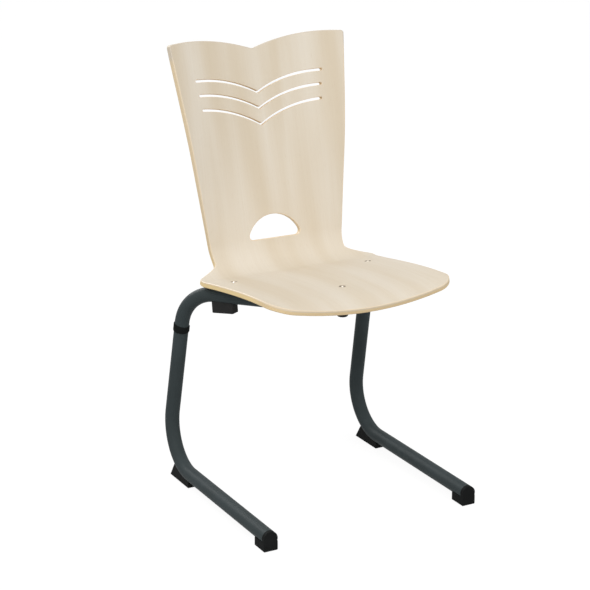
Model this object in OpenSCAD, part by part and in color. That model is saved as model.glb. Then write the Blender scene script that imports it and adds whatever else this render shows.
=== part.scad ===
// Choir chair: one moulded plywood shell on a bent tube frame that stands on two runners.
// The chair faces -Y, +X is to the right when it is seen from the front, and the floor is z = 0.

/* [Shell] */
// Width of the seat pan
seat_w = 398; // [370:1:410]
// Thickness of the moulded plywood
ply_t = 11; // [9:0.5:13]
// Height of the middle of the front edge over the floor
front_edge_z = 449.5; // [440:0.5:470]
// Distance of the middle of the front edge behind the front of the shoes
front_edge_y = 9; // [0:1:20]
// Length of the rounded front lip
lip_len = 87; // [75:1:110]
// Slope of the lip at its very front, in degrees
lip_angle = 14; // [10:1:18]
// Length of the pan behind the lip
pan_len = 232; // [220:1:250]
// Backward slope of the pan just before the bend, in degrees
pan_angle = 9; // [7:0.5:11]
// Radius of the bend between seat and back
bend_r = 68; // [58:1:80]
// Steepness of the back just over the bend, in degrees
lumbar_angle = 79; // [77:1:83]
// Length over which the back settles to its own slope
lumbar_len = 96; // [80:1:110]
// Steepness of the back, in degrees
back_angle = 75; // [72:1:78]
// Length of the straight part of the back up to the crests
back_len = 311; // [290:1:340]
// Width of the back at its top corners
back_top_w = 399; // [370:1:410]
// Width of the waist between the ears and the back
waist_w = 296; // [280:1:315]

/* [Shell edges] */
// Radius of the two front corners
front_corner_r = 41; // [25:1:50]
// Radius of the bow of the front edge
front_bow_r = 950; // [600:10:1500]
// Radius of the two top corners
top_corner_r = 7.5; // [5:0.5:15]
// Width of the bevel round the shell's edges
ply_bevel = 1; // [0.5:0.25:2]
// Radius of each lobe of the top edge
lobe_r = 390; // [300:10:600]
// Distance of each crest from the middle
crest_x = 134; // [115:1:145]

/* [Cut-outs] */
// Radius of the arc of the hand hole
hole_r = 63; // [55:1:70]
// Height of the hand hole
hole_h = 48.5; // [42:0.5:54]
// Radius of the lower corners of the hand hole
hole_corner_r = 8.5; // [5:0.5:11]
// Distance of the hand hole's lower edge under the end of the bend
hole_drop = 4.5; // [2:0.5:8]
// Height of one slot
slot_h = 5.5; // [4.5:0.5:8]
// Distance between slots at their ends
slot_pitch = 29.5; // [24:0.5:34]
// Distance of the top slot's ends under the crests
slot_drop = 80; // [70:1:90]
// Half length of the top slot
slot_half = 145; // [120:1:150]
// Radius of a slot's wings
wing_r = 265; // [235:1:300]

/* [Frame] */
// Outer diameter of the frame tube
tube_d = 30; // [27:0.5:32]
// Wall of the frame tube
tube_wall = 2; // [1.5:0.5:3]
// Distance between the centre lines of the runners
runner_gap = 448; // [430:1:470]
// Height of the runners' underside over the floor
floor_gap = 10; // [8:0.5:13]
// Depth of the corner where each leg would meet its runner
heel_y = 466; // [450:1:480]
// Forward lean of the legs, in degrees
leg_lean = 12; // [10:0.1:14]
// Inward lean of the legs, in degrees
leg_splay = 1.5; // [0:0.1:3]
// Radius of the tube's bends along its centre line
tube_bend_r = 92; // [84:1:98]

/* [Fixings] */
// Distance of the rear seat screws from the middle
rear_screw_x = 153; // [135:1:160]
// Distance of the rear seat screws from the front edge, along the seat
rear_screw_s = 279; // [270:1:286]
// Distance of the front seat screw from the front edge, along the seat
front_screw_s = 117; // [108:1:126]
// Height of the rear saddles between tube and shell
saddle_t = 4; // [3:0.5:6]
// Height of the front saddle between tube and shell
front_saddle_t = 3; // [2.5:0.5:5]
// Length of a saddle along the tube
saddle_len = 40; // [34:1:46]
// Diameter of the seat screws
screw_d = 6; // [5:0.5:7]
// Diameter of the seat screws' heads
screw_head_d = 12.5; // [11:0.5:14]
// Length of the seat screws
screw_len = 30; // [27:0.5:33]

/* [Plastic parts] */
// Length of a rear bumper
bumper_len = 50; // [40:1:54]
// Width of a rear bumper
bumper_w = 20; // [16:1:24]
// Height of a rear bumper under the tube
bumper_h = 19; // [14:1:24]
// Diameter of the front bumper
button_d = 22; // [18:1:26]
// Height of the front bumper under the tube
button_h = 20; // [16:1:24]
// Length of a front shoe
shoe_len = 38; // [32:1:50]
// Thickness of a front shoe's end wall
shoe_cap_t = 8; // [5:0.5:12]
// Length of a rear glide along the floor
glide_len = 84; // [70:1:95]
// Width of a rear glide
glide_w = 20; // [16:1:24]
// Length of a leg sleeve
sleeve_len = 22; // [16:1:30]
// Wall of a leg sleeve
sleeve_wall = 1.5; // [1:0.25:2.5]

/* [Hidden] */

// Steps of a full circle
$fn = 64;
// Clearance where one piece rests on another
seat_gap = 0.2;
// Clearance of a screw in its hole, on the diameter
hole_gap = 0.6;
// How far a cutting solid runs past what it cuts
overrun = 2;
// The tube's bends are a hair thinner than its runs, and the runs lap over them, so that they fuse cleanly
bend_thinning = 0.06;
run_lap = 0.1;

// Shell profile: how far each run goes, and the heading at its end
crown_angle = -1;
pan_bend_angle = lumbar_angle + pan_angle;
bend_len = bend_r * pan_bend_angle * PI / 180;
runs = [[lip_len, crown_angle], [pan_len, -pan_angle], [bend_len, lumbar_angle],
        [lumbar_len, back_angle], [back_len, back_angle]];
crest_s = lip_len + pan_len + bend_len + lumbar_len + back_len;
bend_end_s = lip_len + pan_len + bend_len;

// Dish across the shell: how far the sides of a full-width shell rise over its middle
dish_w = seat_w;
dish_turn_share = 0.6;
dish_full_share = 2.1;
dish_stations = [0, lip_len, lip_len + pan_len, bend_end_s, bend_end_s + lumbar_len * dish_turn_share,
                 bend_end_s + lumbar_len * dish_full_share, crest_s];
dish_shares = [0.0467, 0.0286, 0.0067, 0.0397, 0.0537, 0.0965, 0.0874];
dish_depths = [for (share = dish_shares) share * dish_w];

// Outline of the blank, as half widths along the profile
waist_share = 0.45;
waist_s = bend_end_s - bend_len * waist_share;
ear_s = lip_len + pan_len;
ear_out = 2;
ear_run_share = 0.2;
ear_start_s = ear_s - pan_len * ear_run_share;
flare_slope = 1.55;
flare_s = waist_s - ear_out * 2;
waist_round = 8.5;
ear_round = 5;
back_slope = (back_top_w - waist_w) / 2 / (crest_s - waist_s);

// Cut-outs
hole_bottom_s = bend_end_s - hole_drop;
notch_round = 3;
slot_count = 3;
slot_flat_shares = [0.88, 0.915, 0.96];
slot_half_shares = [1, 0.967, 0.945];

// Frame
tube_r = tube_d / 2;
tube_z = floor_gap + tube_r;
runner_x = runner_gap / 2;
tube_bore_d = tube_d - 2 * tube_wall;
tube_room_d = tube_d + 2 * seat_gap;

// Fasteners
screw_sink = (screw_head_d - screw_d) / 2;
screw_crown = 0.8;
key_d = 4.5;
key_depth = 2.6;
crown_ball_r = (screw_head_d ^ 2 / 4 + screw_crown ^ 2) / (2 * screw_crown);
insert_d = 9;
insert_len = 13;
insert_rim_d = 12;
insert_rim_t = 1;
tap_screw_d = 4.8;
tap_head_d = 9.5;
tap_head_t = 3;
tap_reach = 4;

// Plastic parts
saddle_w_share = 0.9;
saddle_w = tube_d * saddle_w_share;
saddle_wrap = 5;
saddle_corner_r = 6;
bumper_corner_r = 3;
bumper_overhang = 5;
button_round = 8;
shoe_chamfer = 3;
shoe_side_h = 18;
shoe_corner_r = 2;
plug_len = 24;
plug_gap = 0.4;
glide_rake = 35;
glide_front_shift = 9;
sleeve_tilt = 16;
sleeve_drop = 2;

function unit(v) = v / norm(v);
function ease(t) = t <= 0 ? 0 : t >= 1 ? 1 : t * t * (3 - 2 * t);
// Rounded greater and rounded lesser of two values
function soft_max(a, b, k) = (a + b + sqrt((a - b) ^ 2 + k ^ 2)) / 2;
function soft_min(a, b, k) = (a + b - sqrt((a - b) ^ 2 + k ^ 2)) / 2;

// Moves in (y, z) along an arc of a given length between two headings
function arc_move(len, from, to) =
    abs(to - from) < 0.001
        ? len * [cos(from), sin(from)]
        : let (r = len * 180 / PI / (to - from)) r * [sin(to) - sin(from), cos(from) - cos(to)];
function run_start(i) = i == 0 ? 0 : run_start(i - 1) + runs[i - 1][0];
function run_from(i) = i == 0 ? lip_angle : runs[i - 1][1];
function run_of(s, i = 0) = i == len(runs) - 1 || s <= run_start(i + 1) ? i : run_of(s, i + 1);
run_points = [for (i = 0, at = [front_edge_y, front_edge_z]; i < len(runs);
                   at = at + arc_move(runs[i][0], run_from(i), runs[i][1]), i = i + 1) at];
function heading(s) =
    let (i = run_of(s), part = (s - run_start(i)) / runs[i][0])
    run_from(i) + (runs[i][1] - run_from(i)) * part;
function profile_at(s) =
    let (i = run_of(s)) run_points[i] + arc_move(s - run_start(i), run_from(i), heading(s));

// Smooth curve through the dish depths
function station_of(s, i = 0) =
    i == len(dish_stations) - 2 || s <= dish_stations[i + 1] ? i : station_of(s, i + 1);
function dish_slope(i) =
    i == 0 || i == len(dish_stations) - 1
        ? 0
        : (dish_depths[i + 1] - dish_depths[i - 1]) / (dish_stations[i + 1] - dish_stations[i - 1]);
function dish(s) =
    let (i = station_of(s),
         span = dish_stations[i + 1] - dish_stations[i],
         t = min(1, max(0, (s - dish_stations[i]) / span)))
    (2 * t ^ 3 - 3 * t ^ 2 + 1) * dish_depths[i] + (t ^ 3 - 2 * t ^ 2 + t) * span * dish_slope(i)
    + (3 * t ^ 2 - 2 * t ^ 3) * dish_depths[i + 1] + (t ^ 3 - t ^ 2) * span * dish_slope(i + 1);

// A point of the sitting side of the shell: s runs along the profile, x across it
function shell_at(s, x) =
    let (p = profile_at(s), h = heading(s), rise = dish(s) * (2 * x / dish_w) ^ 2)
    [x, p[0] - rise * sin(h), p[1] + rise * cos(h)];
function shell_normal(s, x) =
    let (step = 1)
    unit(cross(shell_at(s, x + step) - shell_at(s, x - step), shell_at(s + step, x) - shell_at(s - step, x)));
function under_shell(s, x) = shell_at(s, x) - ply_t * shell_normal(s, x);

// Half width of the blank, and how its front and top edges leave their rows
function seat_half(s) = seat_w / 2 + ear_out * ease((s - ear_start_s) / (ear_s - ear_start_s));
function back_half(s) = waist_w / 2 + (s - waist_s) * back_slope;
function flare_half(s) = waist_w / 2 + (flare_s - s) * flare_slope;
function side_half(s) =
    soft_min(seat_half(s), soft_max(flare_half(s), back_half(s), waist_round), ear_round);
function front_bow(x) = front_bow_r - sqrt(front_bow_r ^ 2 - x ^ 2);
function lobe(x) = lobe_r - sqrt(lobe_r ^ 2 - (sqrt(x ^ 2 + notch_round ^ 2) - crest_x) ^ 2);
bow_fade_len = lip_len + front_corner_r;
lobe_fade_len = slot_drop;
function edge_shift(s, x) =
    front_bow(x) * (1 - ease(s / bow_fade_len)) - lobe(x) * (1 - ease((crest_s - s) / lobe_fade_len));

// Rows of the blank: place along the profile and half width, with the corners as quarter circles.
// The rows of the two faces stand back from the edge by the bevel.
corner_steps = 6;
pan_rows = 12;
bend_rows = 18;
back_rows = 20;
function corner_row(edge, inward, r, a, inset) =
    [edge + inward * (inset + (r - inset) * (1 - cos(a))),
     side_half(edge + inward * r) - inset - (r - inset) * (1 - sin(a))];
pan_row_s = [for (i = [1:pan_rows]) front_corner_r + (ear_start_s - front_corner_r) * i / pan_rows];
bend_row_s = [for (i = [1:bend_rows]) ear_start_s + (bend_end_s - ear_start_s) * i / bend_rows];
back_row_s = [for (i = [1:back_rows])
    bend_end_s + (crest_s - top_corner_r - bend_end_s) * i / (back_rows + 1)];
function rows_of(inset) = concat(
    [for (i = [0:corner_steps]) corner_row(0, 1, front_corner_r, 90 * i / corner_steps, inset)],
    [for (s = concat(pan_row_s, bend_row_s, back_row_s)) [s, side_half(s) - inset]],
    [for (i = [corner_steps:-1:0]) corner_row(crest_s, -1, top_corner_r, 90 * i / corner_steps, inset)]);
face_rows = rows_of(ply_bevel);
edge_rows = rows_of(0);
columns = 28;
stride = columns + 1;
last_row = len(face_rows) - 1;

function grid_point(row, j, depth) =
    let (x = row[1] * (2 * j / columns - 1), s = row[0] + edge_shift(row[0], x))
    shell_at(s, x) - depth * shell_normal(s, x);
face_points = [for (row = face_rows, j = [0:columns]) grid_point(row, j, 0)];
rear_points = [for (row = face_rows, j = [0:columns]) grid_point(row, j, ply_t)];
// The grid's border, once round, as places in its list of points
rim = concat([for (j = [0:columns]) j], [for (i = [1:last_row]) i * stride + columns],
             [for (j = [columns - 1:-1:0]) last_row * stride + j],
             [for (i = [last_row - 1:-1:1]) i * stride]);
function rim_points(depth) = [for (k = rim) grid_point(edge_rows[floor(k / stride)], k % stride, depth)];
upper_rim = rim_points(ply_bevel);
lower_rim = rim_points(ply_t - ply_bevel);

// The model is centred on its own depth, from the front of the shoes to the rear of the back
shell_ys = [for (p = concat(face_points, rear_points, upper_rim, lower_rim)) p[1]];
deepest_y = max(shell_ys);
foremost_y = min(0, min(shell_ys));
centre_y = (deepest_y + foremost_y) / 2;

// The seat's fixing points, on the sitting side, and their normals
rear_fix = shell_at(rear_screw_s, rear_screw_x);
rear_normal = shell_normal(rear_screw_s, rear_screw_x);
front_fix = shell_at(front_screw_s, 0);
front_normal = shell_normal(front_screw_s, 0);

// Corners of the tube's centre line on the right side. Both rails and the apex between them lie in
// one plane, which runs under the seat's three fixing points.
toe = [runner_x, shoe_cap_t, tube_z];
heel = [runner_x, heel_y, tube_z];
rail_under = rear_fix - (ply_t + saddle_t + tube_r) * rear_normal;
apex = front_fix - (ply_t + front_saddle_t + tube_r) * front_normal;
rail_pitch = (apex[2] - rail_under[2]) / (apex[1] - rail_under[1]);
leg_rise = (rail_under[2] - tube_z + rail_pitch * (heel_y - rail_under[1])) / (1 + rail_pitch * tan(leg_lean));
shoulder = heel + leg_rise * [-tan(leg_splay), -tan(leg_lean), 1];
nose = shoulder + (rail_under - shoulder) * shoulder[0] / (shoulder[0] - rail_under[0]);
rail_dir = unit(nose - shoulder);
rail_half_angle = asin(abs(rail_dir[0]));
apex_r = norm(apex - nose) / (1 / sin(rail_half_angle) - 1);

function flip(p) = [-p[0], p[1], p[2]];
corners = [toe, heel, shoulder, nose, flip(shoulder), flip(heel), flip(toe)];
corner_radii = [0, tube_bend_r, tube_bend_r, apex_r, tube_bend_r, tube_bend_r, 0];
function turn_at(i) =
    acos(unit(corners[i] - corners[i - 1]) * unit(corners[i + 1] - corners[i]));
function cut_back(i) = corner_radii[i] == 0 ? 0 : corner_radii[i] * tan(turn_at(i) / 2);
function bend_start(i) = corners[i] + unit(corners[i - 1] - corners[i]) * cut_back(i);
function bend_end(i) = corners[i] + unit(corners[i + 1] - corners[i]) * cut_back(i);

// Puts children's z axis along a direction
module aim(at, dir) {
    translate(at)
        rotate([0, acos(dir[2] / norm(dir)), atan2(dir[1], dir[0])])
            children();
}

// Puts children in a frame given by its origin, its z axis and a direction near its x axis
module seat_on(at, up, along) {
    z_axis = unit(up);
    x_axis = unit(along - (along * z_axis) * z_axis);
    y_axis = cross(z_axis, x_axis);
    multmatrix([[x_axis[0], y_axis[0], z_axis[0], at[0]],
                [x_axis[1], y_axis[1], z_axis[1], at[1]],
                [x_axis[2], y_axis[2], z_axis[2], at[2]]])
        children();
}

module elbow(i, d) {
    r = corner_radii[i];
    to_start = unit(corners[i - 1] - corners[i]);
    to_end = unit(corners[i + 1] - corners[i]);
    centre = corners[i] + unit(to_start + to_end) * r / cos(turn_at(i) / 2);
    seat_on(centre, cross(bend_start(i) - centre, bend_end(i) - centre), bend_start(i) - centre)
        rotate_extrude(angle = turn_at(i))
            translate([r, 0])
                circle(d = d);
}

module straight(i, d, extra = 0) {
    from = i == 0 ? corners[0] : bend_end(i);
    to = i == len(corners) - 2 ? corners[i + 1] : bend_start(i + 1);
    dir = unit(to - from);
    lead = i == 0 ? extra : run_lap;
    tail = i == len(corners) - 2 ? extra : run_lap;
    aim(from - dir * lead, dir)
        cylinder(d = d, h = norm(to - from) + lead + tail);
}

module tube_path(d, extra = 0) {
    for (i = [0:len(corners) - 2])
        straight(i, d, extra);
    for (i = [1:len(corners) - 2])
        elbow(i, d - bend_thinning);
}

module sides(side) {
    mirror([side < 0 ? 1 : 0, 0, 0])
        children();
}

// Everything is modelled from the front of the shoes and then moved to the chair's own middle
module placed() {
    translate([0, -centre_y, 0])
        children();
}

// Shell

module blank() {
    half = len(face_points);
    turns = len(rim);
    face_quads = [for (i = [0:last_row - 1], j = [0:columns - 1]) i * stride + j];
    top_faces = [for (a = face_quads, k = [0, 1])
        k == 0 ? [a, a + stride, a + stride + 1] : [a, a + stride + 1, a + 1]];
    rear_faces = [for (a = face_quads, k = [0, 1])
        k == 0 ? [half + a, half + a + stride + 1, half + a + stride]
               : [half + a, half + a + 1, half + a + stride + 1]];
    rings = [rim, [for (k = [0:turns - 1]) 2 * half + k], [for (k = [0:turns - 1]) 2 * half + turns + k],
             [for (k = rim) half + k]];
    rim_faces = [for (i = [0:len(rings) - 2], k = [0:turns - 1], m = [0, 1])
        let (next = (k + 1) % turns, a = rings[i][k], b = rings[i][next],
             c = rings[i + 1][k], d = rings[i + 1][next])
        m == 0 ? [a, b, d] : [a, d, c]];
    polyhedron(points = concat(face_points, rear_points, upper_rim, lower_rim),
               faces = concat(top_faces, rear_faces, rim_faces));
}

// One slot's centre line: flat at its ends, then an arc down to the middle
function wing_line(x, flat) = -(wing_r - sqrt(wing_r ^ 2 - max(0, flat - abs(x)) ^ 2));
function slot_half_of(i) = slot_half * slot_half_shares[i];
slot_steps = 9;
slot_end_steps = 12;
hole_steps = 24;

module slot_outline(i) {
    half = slot_half_of(i) - slot_h / 2;
    flat = slot_half * slot_flat_shares[i];
    xs = concat([-half], [for (k = [-slot_steps:slot_steps]) flat * k / slot_steps], [half]);
    line = [for (x = xs) [x, wing_line(x, flat)]];
    polygon(concat([for (p = line) p + [0, slot_h / 2]],
                   [for (k = [len(line) - 1:-1:0]) line[k] - [0, slot_h / 2]]));
    for (end = [-half, half])
        translate([end, 0])
            circle(d = slot_h, $fn = slot_end_steps);
}

module hand_hole_outline() {
    chord = hole_h - hole_r;
    half = sqrt(hole_r ^ 2 - chord ^ 2);
    inner = hole_r - hole_corner_r;
    corner_x = sqrt(inner ^ 2 - (hole_corner_r - chord) ^ 2);
    start = asin((hole_corner_r - chord) / inner);
    arc = [for (k = [0:hole_steps]) let (a = start + (180 - 2 * start) * k / hole_steps) hole_r * [cos(a), sin(a)]];
    corner_turn = 90 + start;
    right = [for (k = [0:corner_steps]) let (a = -90 + corner_turn * k / corner_steps)
        [corner_x, hole_corner_r - chord] + hole_corner_r * [cos(a), sin(a)]];
    left = [for (k = [corner_steps:-1:0]) [-right[k][0], right[k][1]]];
    translate([0, chord])
        polygon(concat(right, arc, left));
}

// Frame for cutting square through the back: x across, y up the back, z out of its face
module on_back(s) {
    seat_on(shell_at(s, 0), shell_normal(s, 0), [1, 0, 0])
        children();
}

cut_depth = ply_t + max(dish_depths);
module through_back(s) {
    on_back(s)
        translate([0, 0, -ply_t - overrun])
            linear_extrude(cut_depth + 2 * overrun)
                children();
}

module screw_cut(s, x) {
    aim(shell_at(s, x), shell_normal(s, x)) {
        translate([0, 0, -ply_t - overrun])
            cylinder(d = screw_d + hole_gap, h = ply_t + 2 * overrun);
        translate([0, 0, -screw_sink])
            cylinder(d1 = screw_d + hole_gap, d2 = screw_head_d + hole_gap, h = screw_sink);
        cylinder(d = screw_head_d + hole_gap, h = overrun);
    }
}

module seat_shell() {
    color("#E1D4C0")
        placed()
            difference() {
                blank();
                for (i = [0:slot_count - 1])
                    through_back(crest_s - slot_drop - i * slot_pitch)
                        slot_outline(i);
                through_back(hole_bottom_s)
                    hand_hole_outline();
                screw_cut(rear_screw_s, rear_screw_x);
                screw_cut(rear_screw_s, -rear_screw_x);
                screw_cut(front_screw_s, 0);
            }
}

// Frame

// Where the rear bumpers sit on the rails, and which way is up there. Their rear ends reach a little
// way over the bends.
bumper_at = bend_end(2) + rail_dir * (bumper_len / 2 - bumper_overhang);
rail_up = unit([0, 0, 1] - rail_dir[2] * rail_dir);
glide_hole_y = heel[1] - cut_back(1) + glide_front_shift;
glide_hole_depth = tube_r + overrun;

module down_bore(at, up, d) {
    aim(at, -up)
        cylinder(d = d, h = tube_r + overrun);
}

module frame_tube() {
    color("#3C4648")
        placed()
            difference() {
                tube_path(tube_d);
                tube_path(tube_bore_d, overrun);
                for (side = [-1, 1])
                    sides(side) {
                        aim(rail_under, rear_normal)
                            cylinder(d = insert_d + seat_gap, h = tube_r + overrun);
                        down_bore(bumper_at, rail_up, tap_screw_d + seat_gap);
                        down_bore([runner_x, glide_hole_y, tube_z], [0, 0, 1], tap_screw_d + seat_gap);
                    }
                aim(apex, front_normal)
                    cylinder(d = insert_d + seat_gap, h = tube_r + overrun);
                down_bore(apex, front_normal, tap_screw_d + seat_gap);
            }
}

// Saddles between tube and shell

module rounded_slab(length, width, r, h) {
    linear_extrude(h) {
        square([length - 2 * r, width], center = true);
        square([length, width - 2 * r], center = true);
        for (sx = [-1, 1], sy = [-1, 1])
            translate([sx * (length / 2 - r), sy * (width / 2 - r)])
                circle(r = r);
    }
}

// Local frame: origin on the tube's centre line, z up to the shell, x along the tube
module saddle_blank(gap_t) {
    translate([0, 0, tube_r - saddle_wrap])
        rounded_slab(saddle_len, saddle_w, saddle_corner_r, saddle_wrap + gap_t - seat_gap);
}

module insert_seat() {
    cylinder(d = screw_d + hole_gap, h = tube_r + 2 * saddle_wrap);
    cylinder(d = insert_rim_d + hole_gap, h = tube_r + insert_rim_t + 2 * seat_gap);
}

module saddle_rear(side) {
    color("#2B2B2B")
        placed()
            sides(side)
                difference() {
                    seat_on(rail_under, rear_normal, rail_dir)
                        saddle_blank(saddle_t);
                    aim(rail_under - rail_dir * saddle_len, rail_dir)
                        cylinder(d = tube_room_d, h = 2 * saddle_len);
                    seat_on(rail_under, rear_normal, rail_dir)
                        insert_seat();
                }
}

module saddle_left() { saddle_rear(-1); }
module saddle_right() { saddle_rear(1); }

module saddle_front() {
    color("#2B2B2B")
        placed()
            difference() {
                seat_on(apex, front_normal, [1, 0, 0])
                    saddle_blank(front_saddle_t);
                elbow(3, tube_room_d);
                seat_on(apex, front_normal, [1, 0, 0])
                    insert_seat();
            }
}

// Seat screws and the threaded inserts they go into

module seat_screw_solid() {
    difference() {
        union() {
            translate([0, 0, -screw_len])
                cylinder(d = screw_d, h = screw_len - screw_sink);
            translate([0, 0, -screw_sink])
                cylinder(d1 = screw_d, d2 = screw_head_d, h = screw_sink);
            intersection() {
                cylinder(d = screw_head_d, h = screw_crown);
                translate([0, 0, screw_crown - crown_ball_r])
                    sphere(r = crown_ball_r, $fn = 96);
            }
        }
        translate([0, 0, screw_crown - key_depth])
            cylinder(d = key_d, h = key_depth + overrun, $fn = 6);
    }
}

module seat_screw_rear(side) {
    color("#C9CACB")
        placed()
            sides(side)
                aim(rear_fix, rear_normal)
                    seat_screw_solid();
}

module seat_screw_left() { seat_screw_rear(-1); }
module seat_screw_right() { seat_screw_rear(1); }
module seat_screw_front() {
    color("#C9CACB")
        placed()
            aim(front_fix, front_normal)
                seat_screw_solid();
}

// Local frame: origin on the tube's centre line, z up to the shell
module insert_nut_solid() {
    difference() {
        union() {
            translate([0, 0, tube_r + seat_gap - insert_len])
                cylinder(d = insert_d, h = insert_len);
            translate([0, 0, tube_r + seat_gap])
                cylinder(d = insert_rim_d, h = insert_rim_t);
        }
        translate([0, 0, -insert_len])
            cylinder(d = screw_d + seat_gap, h = 3 * insert_len);
    }
}

module insert_nut_rear(side) {
    color("#A8A8A0")
        placed()
            sides(side)
                aim(rail_under, rear_normal)
                    insert_nut_solid();
}

module insert_nut_left() { insert_nut_rear(-1); }
module insert_nut_right() { insert_nut_rear(1); }
module insert_nut_front() {
    color("#A8A8A0")
        placed()
            aim(apex, front_normal)
                insert_nut_solid();
}

// Bumpers under the tube

// Self-tapping screw, with its head's underside at the origin and its shank going up
module tap_screw_solid(shank) {
    cylinder(d = tap_screw_d, h = shank);
    translate([0, 0, -tap_head_t])
        cylinder(d1 = tap_screw_d, d2 = tap_head_d, h = tap_head_t);
}

module tap_screw_cut(shank, sink) {
    translate([0, 0, -overrun])
        cylinder(d = tap_screw_d + hole_gap, h = shank + overrun);
    translate([0, 0, -sink - overrun])
        cylinder(d = tap_head_d + hole_gap, h = sink + overrun - seat_gap);
}

// Height of a bumper screw's head over the bumper's foot
bumper_head_sink = 9;
bumper_shank = bumper_h - bumper_head_sink + tube_wall + tap_reach;
button_shank = button_h - bumper_head_sink + tube_wall + tap_reach;

module bumper_rear(side) {
    color("#262626")
        placed()
            sides(side)
                difference() {
                    seat_on(bumper_at, rail_up, rail_dir)
                        translate([0, 0, -tube_r - bumper_h])
                            hull() {
                                translate([0, 0, bumper_corner_r])
                                    rounded_slab(bumper_len, bumper_w, bumper_corner_r, bumper_h + tube_r / 2);
                                rounded_slab(bumper_len - bumper_corner_r, bumper_w - bumper_corner_r,
                                             bumper_corner_r, bumper_corner_r);
                            }
                    aim(bumper_at - rail_dir * bumper_len, rail_dir)
                        cylinder(d = tube_room_d, h = 2 * bumper_len);
                    seat_on(bumper_at, rail_up, rail_dir)
                        translate([0, 0, -tube_r - bumper_h + bumper_head_sink])
                            tap_screw_cut(bumper_shank, bumper_head_sink);
                }
}

module bumper_left() { bumper_rear(-1); }
module bumper_right() { bumper_rear(1); }

module bumper_screw_rear(side) {
    color("#8C8F91")
        placed()
            sides(side)
                seat_on(bumper_at, rail_up, rail_dir)
                    translate([0, 0, -tube_r - bumper_h + bumper_head_sink])
                        tap_screw_solid(bumper_shank);
}

module bumper_screw_left() { bumper_screw_rear(-1); }
module bumper_screw_right() { bumper_screw_rear(1); }

module bumper_front() {
    color("#262626")
        placed()
            difference() {
                seat_on(apex, front_normal, [1, 0, 0])
                    translate([0, 0, -tube_r - button_h])
                        rotate_extrude() {
                            translate([0, button_round])
                                square([button_d / 2, button_h + tube_r / 2 - button_round]);
                            square([button_d / 2 - button_round, button_round]);
                            intersection() {
                                square([button_d / 2, button_round]);
                                translate([button_d / 2 - button_round, button_round])
                                    circle(r = button_round);
                            }
                        }
                elbow(3, tube_room_d);
                seat_on(apex, front_normal, [1, 0, 0])
                    translate([0, 0, -tube_r - button_h + bumper_head_sink])
                        tap_screw_cut(button_shank, bumper_head_sink);
            }
}

module bumper_screw_front() {
    color("#8C8F91")
        placed()
            seat_on(apex, front_normal, [1, 0, 0])
                translate([0, 0, -tube_r - button_h + bumper_head_sink])
                    tap_screw_solid(button_shank);
}

// Leg sleeves, just under the upper bends

leg_dir = unit(heel - shoulder);
sleeve_top = bend_start(2) + leg_dir * sleeve_drop;
sleeve_d = tube_room_d + 2 * sleeve_wall;

module leg_sleeve(side) {
    color("#262626")
        placed()
            sides(side)
                seat_on(sleeve_top, -leg_dir, [-1, 0, 0])
                    difference() {
                        translate([0, 0, -sleeve_len])
                            cylinder(d = sleeve_d, h = sleeve_len);
                        translate([0, 0, -sleeve_len - overrun])
                            cylinder(d = tube_room_d, h = sleeve_len + 2 * overrun);
                        rotate([0, sleeve_tilt, 0])
                            translate([-sleeve_d, -sleeve_d, -sleeve_d * sin(sleeve_tilt) / 2])
                                cube([2 * sleeve_d, 2 * sleeve_d, sleeve_len]);
                    }
}

module leg_sleeve_left() { leg_sleeve(-1); }
module leg_sleeve_right() { leg_sleeve(1); }

// Front shoes: an end plug with an arched end wall and a flat foot

module arch_outline(r) {
    circle(r = r);
    translate([-r, -tube_z + shoe_corner_r])
        square([2 * r, tube_z - shoe_corner_r]);
    translate([-r + shoe_corner_r, -tube_z])
        square([2 * (r - shoe_corner_r), tube_z]);
    for (side = [-1, 1])
        translate([side * (r - shoe_corner_r), -tube_z + shoe_corner_r])
            circle(r = shoe_corner_r);
}

module front_shoe(side) {
    color("#1F2020")
        placed()
            sides(side)
                translate([runner_x, 0, tube_z])
                    rotate([90, 0, 0])
                        front_shoe_solid();
}

// Local frame: z points to the front, the front face is z = 0 and the floor is y = -tube_z
module front_shoe_solid() {
    hull() {
        translate([0, 0, -shoe_cap_t])
            linear_extrude(shoe_cap_t - shoe_chamfer)
                arch_outline(tube_r);
        translate([0, 0, -shoe_chamfer])
            linear_extrude(shoe_chamfer)
                intersection() {
                    arch_outline(tube_r);
                    scale(1 - shoe_chamfer / tube_z)
                        translate([0, -shoe_chamfer])
                            arch_outline(tube_r);
                }
    }
    translate([0, 0, -shoe_len])
        linear_extrude(shoe_len - shoe_cap_t)
            difference() {
                intersection() {
                    arch_outline(tube_r);
                    translate([-tube_d, -tube_z])
                        square([2 * tube_d, shoe_side_h]);
                }
                circle(r = tube_r + seat_gap);
            }
    translate([0, 0, -shoe_cap_t - plug_len])
        cylinder(d = tube_bore_d - plug_gap, h = plug_len);
}

module front_shoe_left() { front_shoe(-1); }
module front_shoe_right() { front_shoe(1); }

// Rear glides: wedges under the heels of the tube

glide_front_y = heel[1] - cut_back(1) - glide_front_shift;
glide_head_z = floor_gap / 2;
glide_shank = floor_gap - glide_head_z + tube_wall + tap_reach;

module rear_glide(side) {
    color("#1F2020")
        placed()
            sides(side)
                difference() {
                    translate([runner_x + glide_w / 2, glide_front_y, 0])
                        rotate([90, 0, -90])
                            linear_extrude(glide_w)
                                polygon([[0, 0], [-glide_len, 0],
                                         [-glide_len + tube_z * tan(glide_rake), tube_z],
                                         [0, tube_z]]);
                    straight(0, tube_room_d);
                    elbow(1, tube_room_d - bend_thinning);
                    translate([runner_x, glide_hole_y, glide_head_z])
                        tap_screw_cut(glide_shank, glide_head_z);
                }
}

module rear_glide_left() { rear_glide(-1); }
module rear_glide_right() { rear_glide(1); }

module glide_screw(side) {
    color("#8C8F91")
        placed()
            sides(side)
                translate([runner_x, glide_hole_y, glide_head_z])
                    tap_screw_solid(glide_shank);
}

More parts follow.
